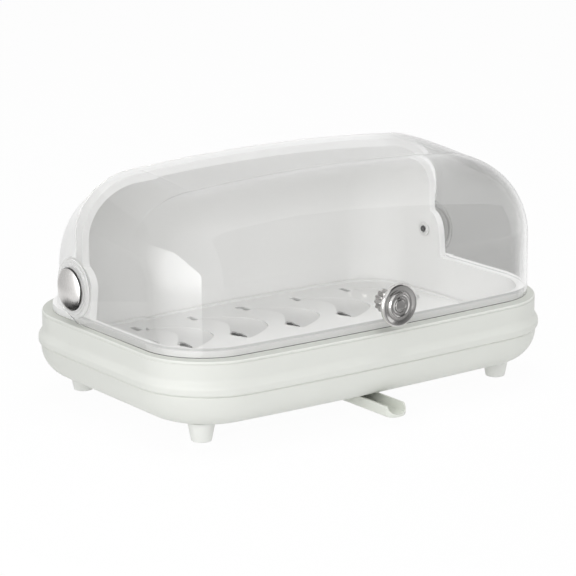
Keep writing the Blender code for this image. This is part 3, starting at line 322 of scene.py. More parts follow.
def clear_plastic(name):
    """Clear moulded plastic, greyer at its ends, roof and foot by painted shade, frosted on its rear edges
    and bosses.

    Light for shadows and for pale surfaces nearby passes straight through it.
    """
    finish = Finish(name)
    smears = finish.noise(14.0, 4.0, 0.6)
    scratches = finish.noise(420.0, 3.0, 0.7, finish.stretched((0.08, 1.0, 0.7)))
    hairs = finish.ramp(scratches, [(0.70, 0.0), (0.80, 1.0)])
    along, depth, height = (finish.axis(axis) for axis in "XYZ")
    # Painted shade: the tints below darken the lid's ends, its roof and a band at its foot.
    behind = finish.ramp(depth * 5.0 + 0.6, [(0.06, 0.0), (0.26, 1.0)])
    left = finish.ramp(along * -5.0, [(0.72, 0.0), (0.92, 1.0)]) * behind
    right = finish.ramp(along * 5.0, [(0.48, 0.0), (0.84, 1.0)]) * behind
    low = finish.ramp(height * 5.0, [(0.42, 1.0), (0.85, 0.0)])
    step = (height - LID_FOOT) * 100.0
    foot = finish.ramp(step, [(0.0, 0.45), (0.55, 0.45), (0.60, 1.0), (0.74, 1.0), (0.82, 0.0)])
    face = finish.mix_colour(smears, (0.995, 0.995, 0.993), (0.982, 0.982, 0.980))
    # Painted shade on the roof, greyer above the brow.
    roof = finish.ramp((height - LID_BROW_Z) * 10.0, [(0.45, 0.0), (0.70, 1.0)])
    face = finish.mix_colour(roof, face, (0.850, 0.850, 0.845))
    # Painted shade at the left end.
    colour = finish.mix_colour(left, face, (0.860, 0.860, 0.855))
    # Painted shade at the right end, darker low down.
    right_end_shade = finish.mix_colour(low, (0.500, 0.500, 0.492), (0.425, 0.425, 0.417))
    colour = finish.mix_colour(right, colour, right_end_shade)
    # Painted shadow in a band just above the foot, lighter at the right end.
    foot_band_shade = finish.mix_colour(right, (0.620, 0.620, 0.615), (0.900, 0.900, 0.895))
    colour = finish.mix_colour(foot, colour, foot_band_shade)
    roughness = 0.012 + smears * 0.02 + hairs * 0.05
    normal = finish.bump(finish.noise(6.0, 1.0, 0.4), 0.0004, 0.12)
    clear = finish.shader({
        "Base Color": colour, "Roughness": roughness, "Normal": normal, "IOR": 1.47,
        "Transmission Weight": 1.0,
    })
    across = depth - (PIVOT[0] + SHIFT.y)
    up = height - PIVOT[1]
    radius = (across * across + up * up) ** 0.5
    ear_edge = radius.over(EAR_RADIUS - 0.0008) * across.over(0.008)
    rear_edge = depth.over(LID_REAR_EDGE + SHIFT.y - 0.0008) * up.over(EAR_RADIUS)
    proud = ((along * along) ** 0.5).over(LID_HALF_LENGTH + 0.0002)
    boss = proud * (1.15 - radius.over(0.0185) * 0.5)
    frosted = finish.shader({"Base Color": (0.93, 0.93, 0.92, 1.0), "Roughness": 0.35, "Normal": normal})
    surface = finish.blended(ear_edge.most(rear_edge).most(boss) * 0.8, clear, frosted)
    through = finish.node("ShaderNodeBsdfTransparent", None, {"Color": WHITE})
    passing = finish.ray("Shadow").most(finish.ray("Diffuse"))
    return finish.done(finish.blended(passing, surface, through))


def satin_metal(name, light, dark, rough, ring_centre, ring_axis, marks=0.5, painted_shade_radius=None):
    """Turned and plated metal: fine rings round its own axis, slight tarnish and soft handling marks.

    The radius beyond which the plating is painted dark, as painted shadow at a rim, is the last argument.
    """
    finish = Finish(name)
    names = [axis for axis in "XYZ" if axis != ring_axis]
    offsets = [finish.axis(axis) - ring_centre["XYZ".index(axis)] for axis in names]
    radius = (offsets[0] * offsets[0] + offsets[1] * offsets[1]) ** 0.5
    rings = (radius * 9000.0 + finish.noise(60.0, 2.0) * 3.0).wave() * 0.5 + 0.5
    tarnish = finish.ramp(finish.noise(90.0, 4.0, 0.6), [(0.35, 0.0), (0.75, 1.0)])
    colour = finish.mix_colour(tarnish * 0.7 + rings * 0.3, light, dark)
    # Painted shadow: the plating is painted dark beyond that radius.
    if painted_shade_radius:
        colour = finish.mix_colour(radius.over(painted_shade_radius), colour, (0.05, 0.05, 0.05))
    roughness = rough + tarnish * 0.10 + rings * 0.06
    normal = finish.bump(rings, 0.00001, marks)
    normal = finish.bump(finish.noise(700.0, 2.0), 0.00002, marks, normal)
    surface = finish.shader({
        "Base Color": colour, "Roughness": roughness, "Normal": normal, "Metallic": 1.0,
        "Anisotropic": 0.35,
    })
    return finish.done(surface)


def soft_rubber(name, light, dark):
    finish = Finish(name)
    cloud = finish.noise(300.0, 4.0, 0.6)
    wear = finish.ramp(finish.axis("Z"), [(0.0, 1.0), (0.002, 0.0)])
    colour = finish.mix_colour(cloud * 0.6 + wear * 0.4, light, dark)
    normal = finish.bump(finish.noise(2500.0, 1.0), 0.00003, 0.5)
    surface = finish.shader({"Base Color": colour, "Roughness": 0.72 + cloud * 0.15, "Normal": normal})
    return finish.done(surface)


# Mesh helpers

def arch_columns(half_length, wide, tall, top):
    """Points (x, reach) from one end to the other, level on top and with a quarter oval at each end."""
    straight = half_length - wide
    columns = []
    for k in range(CORNER_STEPS):
        angle = math.pi / 2 * k / CORNER_STEPS
        columns.append((-straight - wide * math.cos(angle), top - tall * (1 - math.sin(angle))))
    for k in range(SIDE_STEPS + 1):
        columns.append((straight * (2 * k / SIDE_STEPS - 1), top))
    return columns + [(-x, reach) for x, reach in reversed(columns[:CORNER_STEPS])]


def outline_columns(half_length, half_width, corner):
    """Points (x, reach) along a long side of the box, which bows outwards, and its two corners."""
    bowed = []
    for x, reach in arch_columns(half_length, corner, corner, half_width):
        bow = SIDE_BOW * (1 - (x / HALF_LENGTH) ** 2) * (reach / half_width) ** 4
        bowed.append((x, reach + bow))
    return bowed


def plan_loop(half_length, half_width, corner, height):
    columns = outline_columns(half_length, half_width, corner)
    front = [(x, -reach, height) for x, reach in columns]
    return front + [(x, reach, height) for x, reach in reversed(columns)]


def base_loop(inset, height):
    return plan_loop(HALF_LENGTH - inset, HALF_WIDTH - inset, BASE_CORNER - inset, height)


def hood_loop(offset, height):
    return plan_loop(HOOD_HALF_LENGTH + offset, HOOD_HALF_WIDTH + offset, HOOD_CORNER + offset, height)


def roof_columns(half_length, wide, tall, rise, crown):
    """Points (x, rise above the axis) of the arch over the box, matching outline_columns.

    Each shoulder is a quarter oval, wide along the box and tall upwards.
    """
    straight = half_length - wide
    columns = []
    for x, height in arch_columns(half_length, wide, tall, rise):
        share = x / half_length if abs(x) < straight else straight / half_length
        columns.append((x, height - crown * share ** 2))
    return columns


def dome_sweep(wall, roof, axis, direction):
    """Stations that turn a wall into a roof about a line along X, from level to upright."""
    stations = []
    for step in range(DOME_STEPS + 1):
        angle = math.pi / 2 * step / DOME_STEPS
        blend = math.sin(angle) ** 2
        station = []
        for (wall_x, reach), (roof_x, rise) in zip(wall, roof):
            x = wall_x + (roof_x - wall_x) * blend
            level = reach - direction * axis[0]
            height = level + (rise - level) * blend
            y = axis[0] + direction * height * math.cos(angle)
            station.append((x, y, axis[1] + height * math.sin(angle)))
        stations.append(station)
    return stations


def to_mesh(name, form):
    bmesh.ops.recalc_face_normals(form, faces=form.faces)
    mesh = bpy.data.meshes.new(name)
    form.to_mesh(mesh)
    form.free()
    return mesh


def rows_of(form, loops):
    return [[form.verts.new(point) for point in loop] for loop in loops]


def skin(form, rows, closed=False):
    """Faces between rows of equal counts, each joined to the next."""
    count = len(rows[0])
    for one, two in zip(rows, rows[1:]):
        for k in range(count if closed else count - 1):
            after = (k + 1) % count
            form.faces.new((one[k], one[after], two[after], two[k]))


def loft(name, loops):
    """A closed body through loops of equal counts, with flat ends."""
    form = bmesh.new()
    rings = rows_of(form, loops)
    skin(form, rings, closed=True)
    form.faces.new(rings[0])
    form.faces.new(rings[-1])
    return to_mesh(name, form)


def domed_solid(name, stations, far_y, low_z, waist_z=None):
    """A closed body under a sheet of stations, flat below, at its far side and at both ends.

    With waist_z its ends lean inwards from the first station up to the second, at that height.
    """
    form = bmesh.new()
    rows = rows_of(form, stations)
    skin(form, rows)
    left = form.verts.new((rows[0][0].co.x, far_y, low_z))
    right = form.verts.new((rows[0][-1].co.x, far_y, low_z))
    form.faces.new(rows[0] + [right, left])
    if waist_z is None:
        upper, left_low, right_low = rows, [left], [right]
    else:
        upper = rows[1:]
        waist_left = form.verts.new((upper[0][0].co.x, far_y, waist_z))
        waist_right = form.verts.new((upper[0][-1].co.x, far_y, waist_z))
        form.faces.new([rows[0][0], upper[0][0], waist_left, left])
        form.faces.new([rows[0][-1], upper[0][-1], waist_right, right])
        left_low, right_low = [left, waist_left], [waist_right, right]
    form.faces.new(rows[-1] + right_low + left_low)
    form.faces.new([row[0] for row in upper] + left_low[-1:])
    form.faces.new([row[-1] for row in upper] + right_low[:1])
    return to_mesh(name, form)


def turned(name, profile, steps=ROUND_STEPS, flute=None):
    """A body turned about Z from (radius, height) points. flute = (depth, count, least radius)."""
    form = bmesh.new()
    rings = []
    for radius, height in profile:
        if radius == 0:
            rings.append([form.verts.new((0, 0, height))])
            continue
        ring = []
        for k in range(steps):
            angle = 2 * math.pi * k / steps
            reach = radius
            if flute and radius > flute[2]:
                reach += flute[0] * math.cos(flute[1] * angle)
            ring.append(form.verts.new((reach * math.cos(angle), reach * math.sin(angle), height)))
        rings.append(ring)
    pairs = list(zip(rings, rings[1:]))
    if profile[0][0] > 0:
        pairs.append((rings[-1], rings[0]))
    for one, two in pairs:
        for k in range(steps):
            after = (k + 1) % steps
            if len(one) == 1:
                form.faces.new((one[0], two[after], two[k]))
            elif len(two) == 1:
                form.faces.new((one[k], one[after], two[0]))
            else:
                form.faces.new((one[k], one[after], two[after], two[k]))
    return to_mesh(name, form)


def softened(points, cut, steps=3, closed=False):
    """The outline with each corner rounded, cutting back at most a third of either side."""
    result = []
    count = len(points)
    for k, point in enumerate(points):
        if not closed and k in (0, count - 1):
            result.append(point)
            continue
        here = Vector(point)
        before = Vector(points[k - 1])
        after = Vector(points[(k + 1) % count])
        start = here + (before - here).normalized() * min(cut, (before - here).length / 3)
        end = here + (after - here).normalized() * min(cut, (after - here).length / 3)
        if (before - here).angle(after - here, 0.0) > math.radians(160):
            result.append(point)
            continue
        for n in range(steps + 1):
            t = n / steps
            result.append(tuple(start * (1 - t) ** 2 + here * 2 * t * (1 - t) + end * t ** 2))
    return result


def spun(name, profile, cut, steps=SMALL_STEPS, closed=False, flute=None, rounds=3):
    """A body turned about Z from an outline whose corners are rounded."""
    return turned(name, softened(profile, cut, rounds, closed), steps, flute)


def arc(centre, radius, start, end, steps):
    angles = [math.radians(start + (end - start) * k / steps) for k in range(steps + 1)]
    return [(centre[0] + radius * math.cos(a), centre[1] + radius * math.sin(a)) for a in angles]


def bend(start, corner, end, steps):
    points = []
    for k in range(1, steps):
        t = k / steps
        weights = ((1 - t) ** 2, 2 * t * (1 - t), t ** 2)
        guides = list(zip(weights, (start, corner, end)))
        points.append(tuple(sum(weight * guide[n] for weight, guide in guides) for n in (0, 1)))
    return points


def side_prism(name, profile, half_length):
    """A body with a YZ outline between both ends."""
    return loft(name, [[(side * half_length, y, z) for y, z in profile] for side in (-1, 1)])


def block(name, low, high):
    corners = [(low[0], low[1]), (high[0], low[1]), (high[0], high[1]), (low[0], high[1])]
    return loft(name, [[(x, y, z) for x, y in corners] for z in (low[2], high[2])])


def quarter_turn(axis, side=1):
    return Matrix.Rotation(side * math.pi / 2, 4, axis)


def moved(mesh, place, turn=None):
    """The mesh turned about the origin and then moved to its place."""
    if turn is not None:
        mesh.transform(turn)
    mesh.transform(Matrix.Translation(place))
    return mesh


def rod(radius, low, high):
    return turned("rod", [(0, low), (radius, low), (radius, high), (0, high)], SMALL_STEPS)


def round_rod(x, y, radius, low, high):
    return moved(rod(radius, low, high), (x, y, 0))


def merged(name, meshes):
    form = bmesh.new()
    for mesh in meshes:
        form.from_mesh(mesh)
    return to_mesh(name, form)


def placed(name, data):
    """A new object in the scene around its data."""
    item = bpy.data.objects.new(name, data)
    bpy.context.collection.objects.link(item)
    return item


def carve(mesh, steps):
    """The mesh after a run of (operation, tool mesh) Booleans."""
    work = placed("work", mesh)
    tools = []
    for operation, tool_mesh in steps:
        tool = placed("tool", tool_mesh)
        tools.append(tool)
        modifier = work.modifiers.new("cut", "BOOLEAN")
        modifier.operation = operation
        modifier.solver = "EXACT"
        modifier.object = tool
    graph = bpy.context.evaluated_depsgraph_get()
    result = bpy.data.meshes.new_from_object(work.evaluated_get(graph))
    for item in [work] + tools:
        bpy.data.objects.remove(item, do_unlink=True)
    return result


def eased(mesh, width, least_angle=42, keep=None, steps=3):
    """The mesh with its hard edges rounded; keep says by an edge's middle which stay hard."""
    form = bmesh.new()
    form.from_mesh(mesh)
    bmesh.ops.remove_doubles(form, verts=form.verts, dist=0.000004)
    bmesh.ops.dissolve_degenerate(form, edges=form.edges, dist=0.000004)
    edges = []
    for edge in form.edges:
        if len(edge.link_faces) != 2 or edge.calc_face_angle(0.0) < math.radians(least_angle):
            continue
        middle = (edge.verts[0].co + edge.verts[1].co) / 2
        if keep and keep(middle):
            continue
        edges.append(edge)
    bmesh.ops.bevel(
        form, geom=edges, offset=width, segments=steps, profile=0.5, affect="EDGES", clamp_overlap=True,
    )
    form.to_mesh(mesh)
    form.free()
    return mesh


def piece(
    name, mesh, material, body, nodes, turn=None, place=(0, 0, 0), crease=30, ridge=None,
):
    """A shown piece in the row's frame, with its vertices in place and its shading smoothed.

    ridge says by its two ends whether a shallow edge still shows as a line.
    """
    mesh.shade_smooth()
    mesh.set_sharp_from_angle(angle=math.radians(crease))
    if ridge:
        for edge in mesh.edges:
            first, second = (mesh.vertices[n].co for n in edge.vertices)
            if ridge(first) and ridge(second):
                edge.use_edge_sharp = True
    moved(mesh, Vector(place) + SHIFT, turn)
    mesh.materials.clear()
    mesh.materials.append(material)
    item = placed(name, mesh)
    weighted = item.modifiers.new("weighted", "WEIGHTED_NORMAL")
    weighted.keep_sharp = True
    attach(item, body)
    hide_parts(*nodes)


# Base basin

def quarter(start, end, bulge_first, steps):
    """Points (inset, height) of a quarter round; bulge_first moves the inset before the height."""
    points = []
    for k in range(steps + 1):
        angle = math.pi / 2 * k / steps
        if bulge_first:
            across, up = math.sin(angle), 1 - math.cos(angle)
        else:
            across, up = 1 - math.cos(angle), math.sin(angle)
        points.append((start[0] + (end[0] - start[0]) * across, start[1] + (end[1] - start[1]) * up))
    return points


def make_base():
    wall = BEAD_PROUD
    belly_top = BASE_BOTTOM + BASE_BELLY
    belly = BELLY_INSET
    profile = quarter((belly + BASE_BELLY, BASE_BOTTOM), (belly, belly_top), True, 14)
    profile += [
        (belly, belly_top + 0.0008), (belly + 0.0003, BEAD_LOW - 0.0004),
        (belly + 0.0010, BEAD_LOW - 0.0001),
    ]
    for k in range(9):
        angle = math.pi / 2 * k / 8
        height = BEAD_LOW + BEAD_UNDER * (1 - math.cos(angle)) + 0.0001
        profile.append((belly * (1 - math.sin(angle)), height))
    for k in range(15):
        height = BEAD_LOW + BEAD_TALL + FLARE_TALL * k / 14
        profile.append((wall * (1 - math.cos(math.pi * k / 14)) / 2, height))
    profile += [(wall, LEDGE_SEAM - 0.0003), (wall + 0.0006, LEDGE_SEAM), (wall, LEDGE_SEAM + 0.0003)]
    profile += quarter((wall, LEDGE_HEIGHT - LEDGE_ROUND), (wall + LEDGE_ROUND, LEDGE_HEIGHT), False, 8)
    loops = [base_loop(inset, height) for inset, height in profile]
    opening = SKIRT_WALL + 0.0005
    loops.append(hood_loop(opening + 0.0004, LEDGE_HEIGHT))
    loops.append(hood_loop(opening, LEDGE_HEIGHT - 0.0004))
    loops.append(hood_loop(opening, LEDGE_HEIGHT - BASE_WALL))
    inside = wall + BASE_WALL
    inner = BASE_BELLY - BASE_WALL
    floor = BASE_BOTTOM + BASE_WALL
    loops.append(base_loop(inside, LEDGE_HEIGHT - BASE_WALL))
    inside = belly + BASE_WALL
    for inset, height in quarter((inside, floor + inner), (inside + inner, floor), False, 12):
        loops.append(base_loop(inset, height))
    mesh = loft("base", loops)
    posts = []
    holes = []

    def add_post(x, y, post, hole):
        posts.append(round_rod(x, y, post[0], floor - 0.001, post[1]))
        holes.append(round_rod(x, y, hole[0], BASE_BOTTOM - PAST, hole[1]))

    for side in (-1, 1):
        for depth in (-1, 1):
            x, y = side * FOOT_X, depth * FOOT_Y
            add_post(x, y, FOOT_POST, FOOT_HOLE)
    for x, y in rail_screw_places():
        add_post(x, y, SCREW_POST, SCREW_HOLE)
    posts.append(round_rod(0, DRAIN_Y, DRAIN_OUTER, 0.0154, floor - 0.0015))
    holes.append(round_rod(0, DRAIN_Y, DRAIN_BORE, 0.010, floor + PAST))
    return carve(mesh, [("UNION", merged("posts", posts)), ("DIFFERENCE", merged("holes", holes))])


def rail_screw_places():
    return [(side * RAIL_SCREW_X, y) for side in (-1, 1) for y in RAIL_SCREW_ROWS]


# Hood

def boss_edge(side):
    """The cheek's front (-1) or rear (1) edge from the ring up: boss, soft bend, then the rim."""
    if side < 0:
        edge = RIM_FRONT
        round_part = arc(PIVOT, PIVOT_BOSS_RADIUS, 180, 115, 14)
    else:
        edge = RIM_FRONT + RIM_DEPTH
        round_part = arc(PIVOT, PIVOT_BOSS_RADIUS, 0, 62, 14)
    start = round_part[-1]
    corner = (edge, start[1] + abs(edge - start[0]) / 2)
    end = (edge, PIVOT[1] + PIVOT_BOSS_RADIUS * 1.45)
    return round_part + bend(start, corner, end, 8) + [end]


def hood_dome(name, offset, low_z, far_y):
    wall = outline_columns(HOOD_HALF_LENGTH + offset, HOOD_HALF_WIDTH + offset, HOOD_CORNER + offset)
    half_length = HOOD_HALF_LENGTH - HOOD_TAPER + offset
    upper = outline_columns(half_length, HOOD_HALF_WIDTH + offset, HOOD_CORNER + offset)
    shoulder = (HOOD_SHOULDER_WIDE + offset, HOOD_CORNER + offset)
    roof = roof_columns(half_length, *shoulder, HOOD_RADIUS + offset, HOOD_CROWN)
    turn = dome_sweep(upper, roof, HOOD_AXIS, 1)
    foot = [(x, reach, low_z) for x, reach in wall]
    front = [(x, far_y, HOOD_AXIS[1] + rise) for x, rise in roof]
    return domed_solid(name, [foot] + turn + [front], far_y, low_z, HOOD_AXIS[1])


def hood_void(roof_z):
    half_length = HOOD_HALF_LENGTH - HOOD_TAPER
    wall = outline_columns(half_length, HOOD_HALF_WIDTH, HOOD_CORNER)
    roof = roof_columns(half_length, HOOD_SHOULDER_WIDE, HOOD_CORNER, HOOD_RADIUS, HOOD_CROWN)
    turn = dome_sweep(wall, roof, HOOD_AXIS, 1)[1:]
    low = [
        hood_loop(-LIP_WIDTH, SKIRT_BOTTOM - PAST), hood_loop(-LIP_WIDTH, LIP_TOP), hood_loop(0, LIP_TOP),
        hood_loop(0, RING_TOP - 0.002),
        plan_loop(half_length, HOOD_HALF_WIDTH, HOOD_CORNER, HOOD_AXIS[1]),
    ]
    count = len(wall)
    form = bmesh.new()
    rings = rows_of(form, low)
    form.faces.new(rings[0])
    skin(form, rings, closed=True)
    front_low = rings[-1][:count]
    rear_low = list(reversed(rings[-1][count:]))
    front_high = [form.verts.new((x, -reach, roof_z)) for x, reach in wall]
    skin(form, [front_low, front_high])
    rows = rows_of(form, turn)
    skin(form, [rear_low] + rows)
    top_left = form.verts.new((-half_length, HOOD_AXIS[0], roof_z))
    top_right = form.verts.new((half_length, HOOD_AXIS[0], roof_z))
    form.faces.new(rows[-1] + [top_right, top_left])
    form.faces.new(front_high + [top_right, top_left])
    for end, top in ((0, top_left), (-1, top_right)):
        side = [row[end] for row in [front_low, rear_low] + rows]
        form.faces.new(side + [top, front_high[end]])
    return to_mesh("hood_void", form)


def pivot_rod(reach):
    """A rod along the hinge, of the bore's radius."""
    return moved(rod(PIVOT_BORE, -reach, reach), (0, *PIVOT), quarter_turn("Y"))


def snap_lugs():
    """Small lugs on the skirt that catch under the base's ledge."""
    low, high, half, proud = 0.0682, 0.0712, 0.007, 0.0015
    lugs = []
    for side in (-1, 1):
        for x in (-HOOD_HALF_LENGTH / 2, HOOD_HALF_LENGTH / 2):
            face = HOOD_HALF_WIDTH + SKIRT_WALL + SIDE_BOW * (1 - (x / HALF_LENGTH) ** 2)
            ends = sorted((side * (face - SKIRT_WALL / 2), side * (face + proud)))
            lugs.append(block("lug", (x - half, ends[0], low), (x + half, ends[1], high)))
        face = HOOD_HALF_LENGTH + SKIRT_WALL
        ends = sorted((side * (face - SKIRT_WALL / 2), side * (face + proud)))
        lugs.append(block("lug", (ends[0], -half, low), (ends[1], half, high)))
    return merged("lugs", lugs)


def make_hood():
    sky = LID_TOP + PAST
    low = RING_TOP - 0.002
    far = PIVOT[0] - PIVOT_BOSS_RADIUS - 0.002
    limit = far - PAST

    def before(name, edge):
        """A body of all that lies before an edge seen from the side."""
        foot = low - PAST
        profile = [(limit, foot), (edge[0][0], foot)] + edge + [(edge[-1][0], sky), (limit, sky)]
        return side_prism(name, profile, LID_HALF_LENGTH)

    rim = carve(hood_dome("rim", RIM_THICKNESS, low, far), [("INTERSECT", before("band", boss_edge(1)))])
    ring = loft("ring", [
        hood_loop(SKIRT_WALL, SKIRT_BOTTOM), hood_loop(SKIRT_WALL, RING_BOTTOM),
        hood_loop(RING_THICKNESS, RING_BOTTOM), hood_loop(RING_THICKNESS, RING_TOP),
    ])
    mesh = carve(hood_dome("hood", HOOD_WALL, low, far), [
        ("UNION", rim), ("DIFFERENCE", before("front", boss_edge(-1))), ("UNION", ring),
        ("DIFFERENCE", hood_void(sky)), ("DIFFERENCE", pivot_rod(LID_HALF_LENGTH)),
        ("UNION", snap_lugs()),
    ])
    rear_step = RIM_FRONT + RIM_DEPTH - 0.0006

    def hard(spot):
        """Whether an edge stays sharp, as those below the ring and behind the rim do."""
        return spot.z < RING_TOP - 0.003 or (spot.y > rear_step and spot.z > RING_TOP + 0.0005)

    return eased(mesh, 0.0012, keep=hard)


# Lid

def lid_dome(name, inset, low_z, far_y):
    wall = outline_columns(LID_HALF_LENGTH - inset, LID_HALF_WIDTH - inset, LID_CORNER - inset)
    upper = [(x, reach - LID_DRAFT) for x, reach in wall]
    shoulder = (LID_SHOULDER_WIDE - inset, LID_SHOULDER - inset)
    roof = roof_columns(LID_HALF_LENGTH - inset, *shoulder, LID_BROW_RADIUS - inset, LID_CROWN)
    turn = dome_sweep(upper, roof, (LID_CREASE_Y, LID_BROW_Z), -1)
    foot = [(x, -reach, low_z) for x, reach in wall]
    back = []
    span = LID_REAR_EDGE - LID_CREASE_Y
    for k in range(1, 9):
        y = LID_CREASE_Y + span * k / 8 if k < 8 else LID_REAR_EDGE
        lift = LID_ROOF_FALL * math.sin(math.pi / 2 * (y - LID_CREASE_Y) / span)
        back.append([(x, y, LID_BROW_Z + height + lift) for x, height in roof])
    back.append([(x, far_y, z) for x, y, z in back[-1]])
    return domed_solid(name, [foot] + turn + back, far_y, low_z)


def make_lid():
    far = PIVOT[0] + EAR_RADIUS + PAST
    ear = arc(PIVOT, EAR_RADIUS, 60, -60, 28)
    start = (LID_REAR_EDGE, PIVOT[1] + EAR_RADIUS * 1.35)
    corner = (LID_REAR_EDGE, PIVOT[1] + EAR_RADIUS * 1.05)
    edge = [start] + bend(start, corner, ear[0], 8) + ear
    heel = PIVOT[0] - 0.004
    floor = LID_FOOT - PAST
    behind = far + 2 * PAST
    sky = LID_TOP + PAST
    rear = [(LID_REAR_EDGE, sky)] + edge
    rear += [(heel, LID_FOOT), (heel, floor), (behind, floor), (behind, sky)]
    low, middle, high = (LID_HALF_LENGTH + out for out in (-0.0013, EAR_BOSS_TALL / 2, EAR_BOSS_TALL))
    bosses = []
    for side in (-1, 1):
        outline = [
            (0, low), (EAR_BOSS_RADIUS, low), (EAR_BOSS_RADIUS, middle), (EAR_STEP_RADIUS, middle),
            (EAR_STEP_RADIUS, high), (0, high),
        ]
        boss = spun("boss", outline, 0.0005, FINE_STEPS)
        bosses.append(moved(boss, (0, *PIVOT), quarter_turn("Y", side)))
    deep = LID_WALL + PAST
    knob_hole = moved(rod(KNOB_HOLE, -deep, deep), (0, KNOB_SEAT_Y, KNOB_HEIGHT), quarter_turn("X"))
    mesh = carve(lid_dome("lid", 0, LID_FOOT, far), [
        ("DIFFERENCE", lid_dome("hollow", LID_WALL, floor, far + PAST)),
        ("DIFFERENCE", side_prism("rear", rear, LID_HALF_LENGTH + PAST)),
        ("UNION", merged("bosses", bosses)),
        ("DIFFERENCE", pivot_rod(LID_HALF_LENGTH + PAST)),
        ("DIFFERENCE", knob_hole),
    ])
    return eased(mesh, 0.0005, steps=2)


def lid_ridge(spot):
    """Whether a point lies where the lid's front or a shoulder meets its roof."""
    straight = LID_HALF_LENGTH - LID_SHOULDER_WIDE
    on_front = abs(spot.y - LID_CREASE_Y) < 0.0002 and spot.z > LID_BROW_Z + 0.03
    on_roof = spot.y > LID_CREASE_Y - 0.0002 and spot.z > LID_BROW_Z
    return on_front or (on_roof and abs(abs(spot.x) - straight) < 0.0002)


# Tray

# Rows across a scoop from its tail, as shares of its width, length and depth: the left edge out and
# along, the right edge out and along, and the left and right depth
SCOOP_SHARES = [
    (0.00, 0.00, 0.08, 0.00, 0.10, 0.10), (0.15, 0.09, 0.30, 0.04, 0.20, 0.00),
    (0.24, 0.19, 0.56, 0.12, 0.30, 0.00), (0.29, 0.29, 0.78, 0.24, 0.42, 0.00),
    (0.28, 0.40, 0.94, 0.38, 0.60, 0.05), (0.20, 0.50, 1.00, 0.52, 0.80, 0.30),
    (0.07, 0.61, 0.95, 0.64, 0.95, 0.55), (-0.05, 0.70, 0.86, 0.72, 0.95, 0.70),
    (-0.16, 0.78, 0.72, 0.79, 0.95, 0.80), (-0.10, 0.88, 0.44, 0.89, 0.95, 0.85),
    (-0.03, 1.00, 0.08, 0.99, 0.90, 0.90),
]
SCOOP_WIDTH = 0.0406
SCOOP_LENGTH = 0.077
SCOOP_DEPTH = 0.0035
SCOOP_EDGE_DEPTH = 0.0002
DRAIN_SHARES = [(0.17, 0.565), (-0.11, 0.77), (-0.02, 0.95), (0.19, 0.805), (0.24, 0.60)]


def fine_shares(rows, parts):
    """The rows with smooth steps between them."""
    result = []
    for k in range(len(rows) - 1):
        a, b = rows[max(k - 1, 0)], rows[k]
        c, d = rows[k + 1], rows[min(k + 2, len(rows) - 1)]
        for n in range(parts):
            t = n / parts
            row = []
            for p, q, r, s in zip(a, b, c, d):
                row.append(0.5 * (2 * q + (r - p) * t + (2 * p - 5 * q + 4 * r - s) * t * t
                                  + (3 * q - p - 3 * r + s) * t ** 3))
            result.append(row)
    return result + [list(rows[-1])]


def scoop(wall, top):
    loops = []
    rows = fine_shares(SCOOP_SHARES, 4)
    for k, (left_x, left_y, right_x, right_y, left_deep, right_deep) in enumerate(rows):
        left = Vector((left_x * SCOOP_WIDTH, -left_y * SCOOP_LENGTH))
        right = Vector((right_x * SCOOP_WIDTH, -right_y * SCOOP_LENGTH))
        across = (right - left).normalized() * wall
        along = Vector((0, wall if k == 0 else -wall if k == len(rows) - 1 else 0))
        left = left - across + along
        right = right + across + along
        loop = [(left.x, left.y, top), (right.x, right.y, top)]
        for n in range(8, -1, -1):
            share = n / 8
            spot = left.lerp(right, share)
            near, far = max(left_deep, 0.0), max(right_deep, 0.0)
            deep = far + (near - far) * math.cos(math.pi / 2 * share)
            drop = SCOOP_EDGE_DEPTH + (SCOOP_DEPTH - SCOOP_EDGE_DEPTH) * deep
            loop.append((spot.x, spot.y, TRAY_TOP - drop - wall))
        loops.append(loop)
    return loft("scoop", loops)


def make_tray():
    inside = -TRAY_CLEAR - TRAY_RIM_WALL
    rim_top = TRAY_TOP + TRAY_RIM_TALL
    soft = 0.0005
    mesh = loft("tray", [
        hood_loop(-TRAY_CLEAR - soft, TRAY_BOTTOM), hood_loop(-TRAY_CLEAR, TRAY_BOTTOM + soft),
        hood_loop(-TRAY_CLEAR, rim_top - soft), hood_loop(-TRAY_CLEAR - soft, rim_top),
        hood_loop(inside + soft, rim_top), hood_loop(inside, rim_top - soft),
        hood_loop(inside, TRAY_TOP + soft), hood_loop(inside - soft, TRAY_TOP),
    ])
    low, high = TRAY_TOP - 0.0095, TRAY_TOP + PAST
    across, along = SLOT_HALF
    shells, hollows, openings = [], [], []
    for row in range(TRAY_ROWS):
        for column in range(TRAY_COLUMNS):
            x = FIRST_SLOT[0] + column * COLUMN_PITCH
            y = FIRST_SLOT[1] - row * ROW_PITCH
            left = x + SCOOP_START[0]
            start = y + SCOOP_START[1]
            for group, wall, top in ((shells, SCOOP_WALL, TRAY_BOTTOM + 0.001), (hollows, 0.0, high)):
                group.append(moved(scoop(wall, top), (left, start, 0)))
            drain = [
                (left + out * SCOOP_WIDTH, start - length * SCOOP_LENGTH, low)
                for out, length in DRAIN_SHARES
            ]
            drain = softened(drain, 0.0012, closed=True)
            openings.append(loft("drain", [drain, [(px, py, high) for px, py, _ in drain]]))
            openings.append(block("slot", (x - across, y - along, low), (x + across, y + along, high)))
    return carve(mesh, [
        ("UNION", merged("shells", shells)), ("DIFFERENCE", merged("hollows", hollows)),
        ("DIFFERENCE", merged("openings", openings)),
    ])


# Small turned pieces, laid out along Z

def make_foot():
    top, wide, sole, low = 0.0167, 0.0115, 0.00825, 0.0005
    peg, peg_end = 0.004, 0.0237
    recess, roof = 0.0071, 0.0021
    profile = [
        (0, roof), (recess, roof), (recess, low), (sole, low), (wide, top), (peg, top), (peg, peg_end),
        (0, peg_end),
    ]
    return spun("foot", profile, 0.0007, ROUND_STEPS)


def make_pad():
    radius, tall = 0.0068, 0.0018
    return spun("pad", [(0, 0), (radius, 0), (radius, tall), (0, tall)], 0.0004)


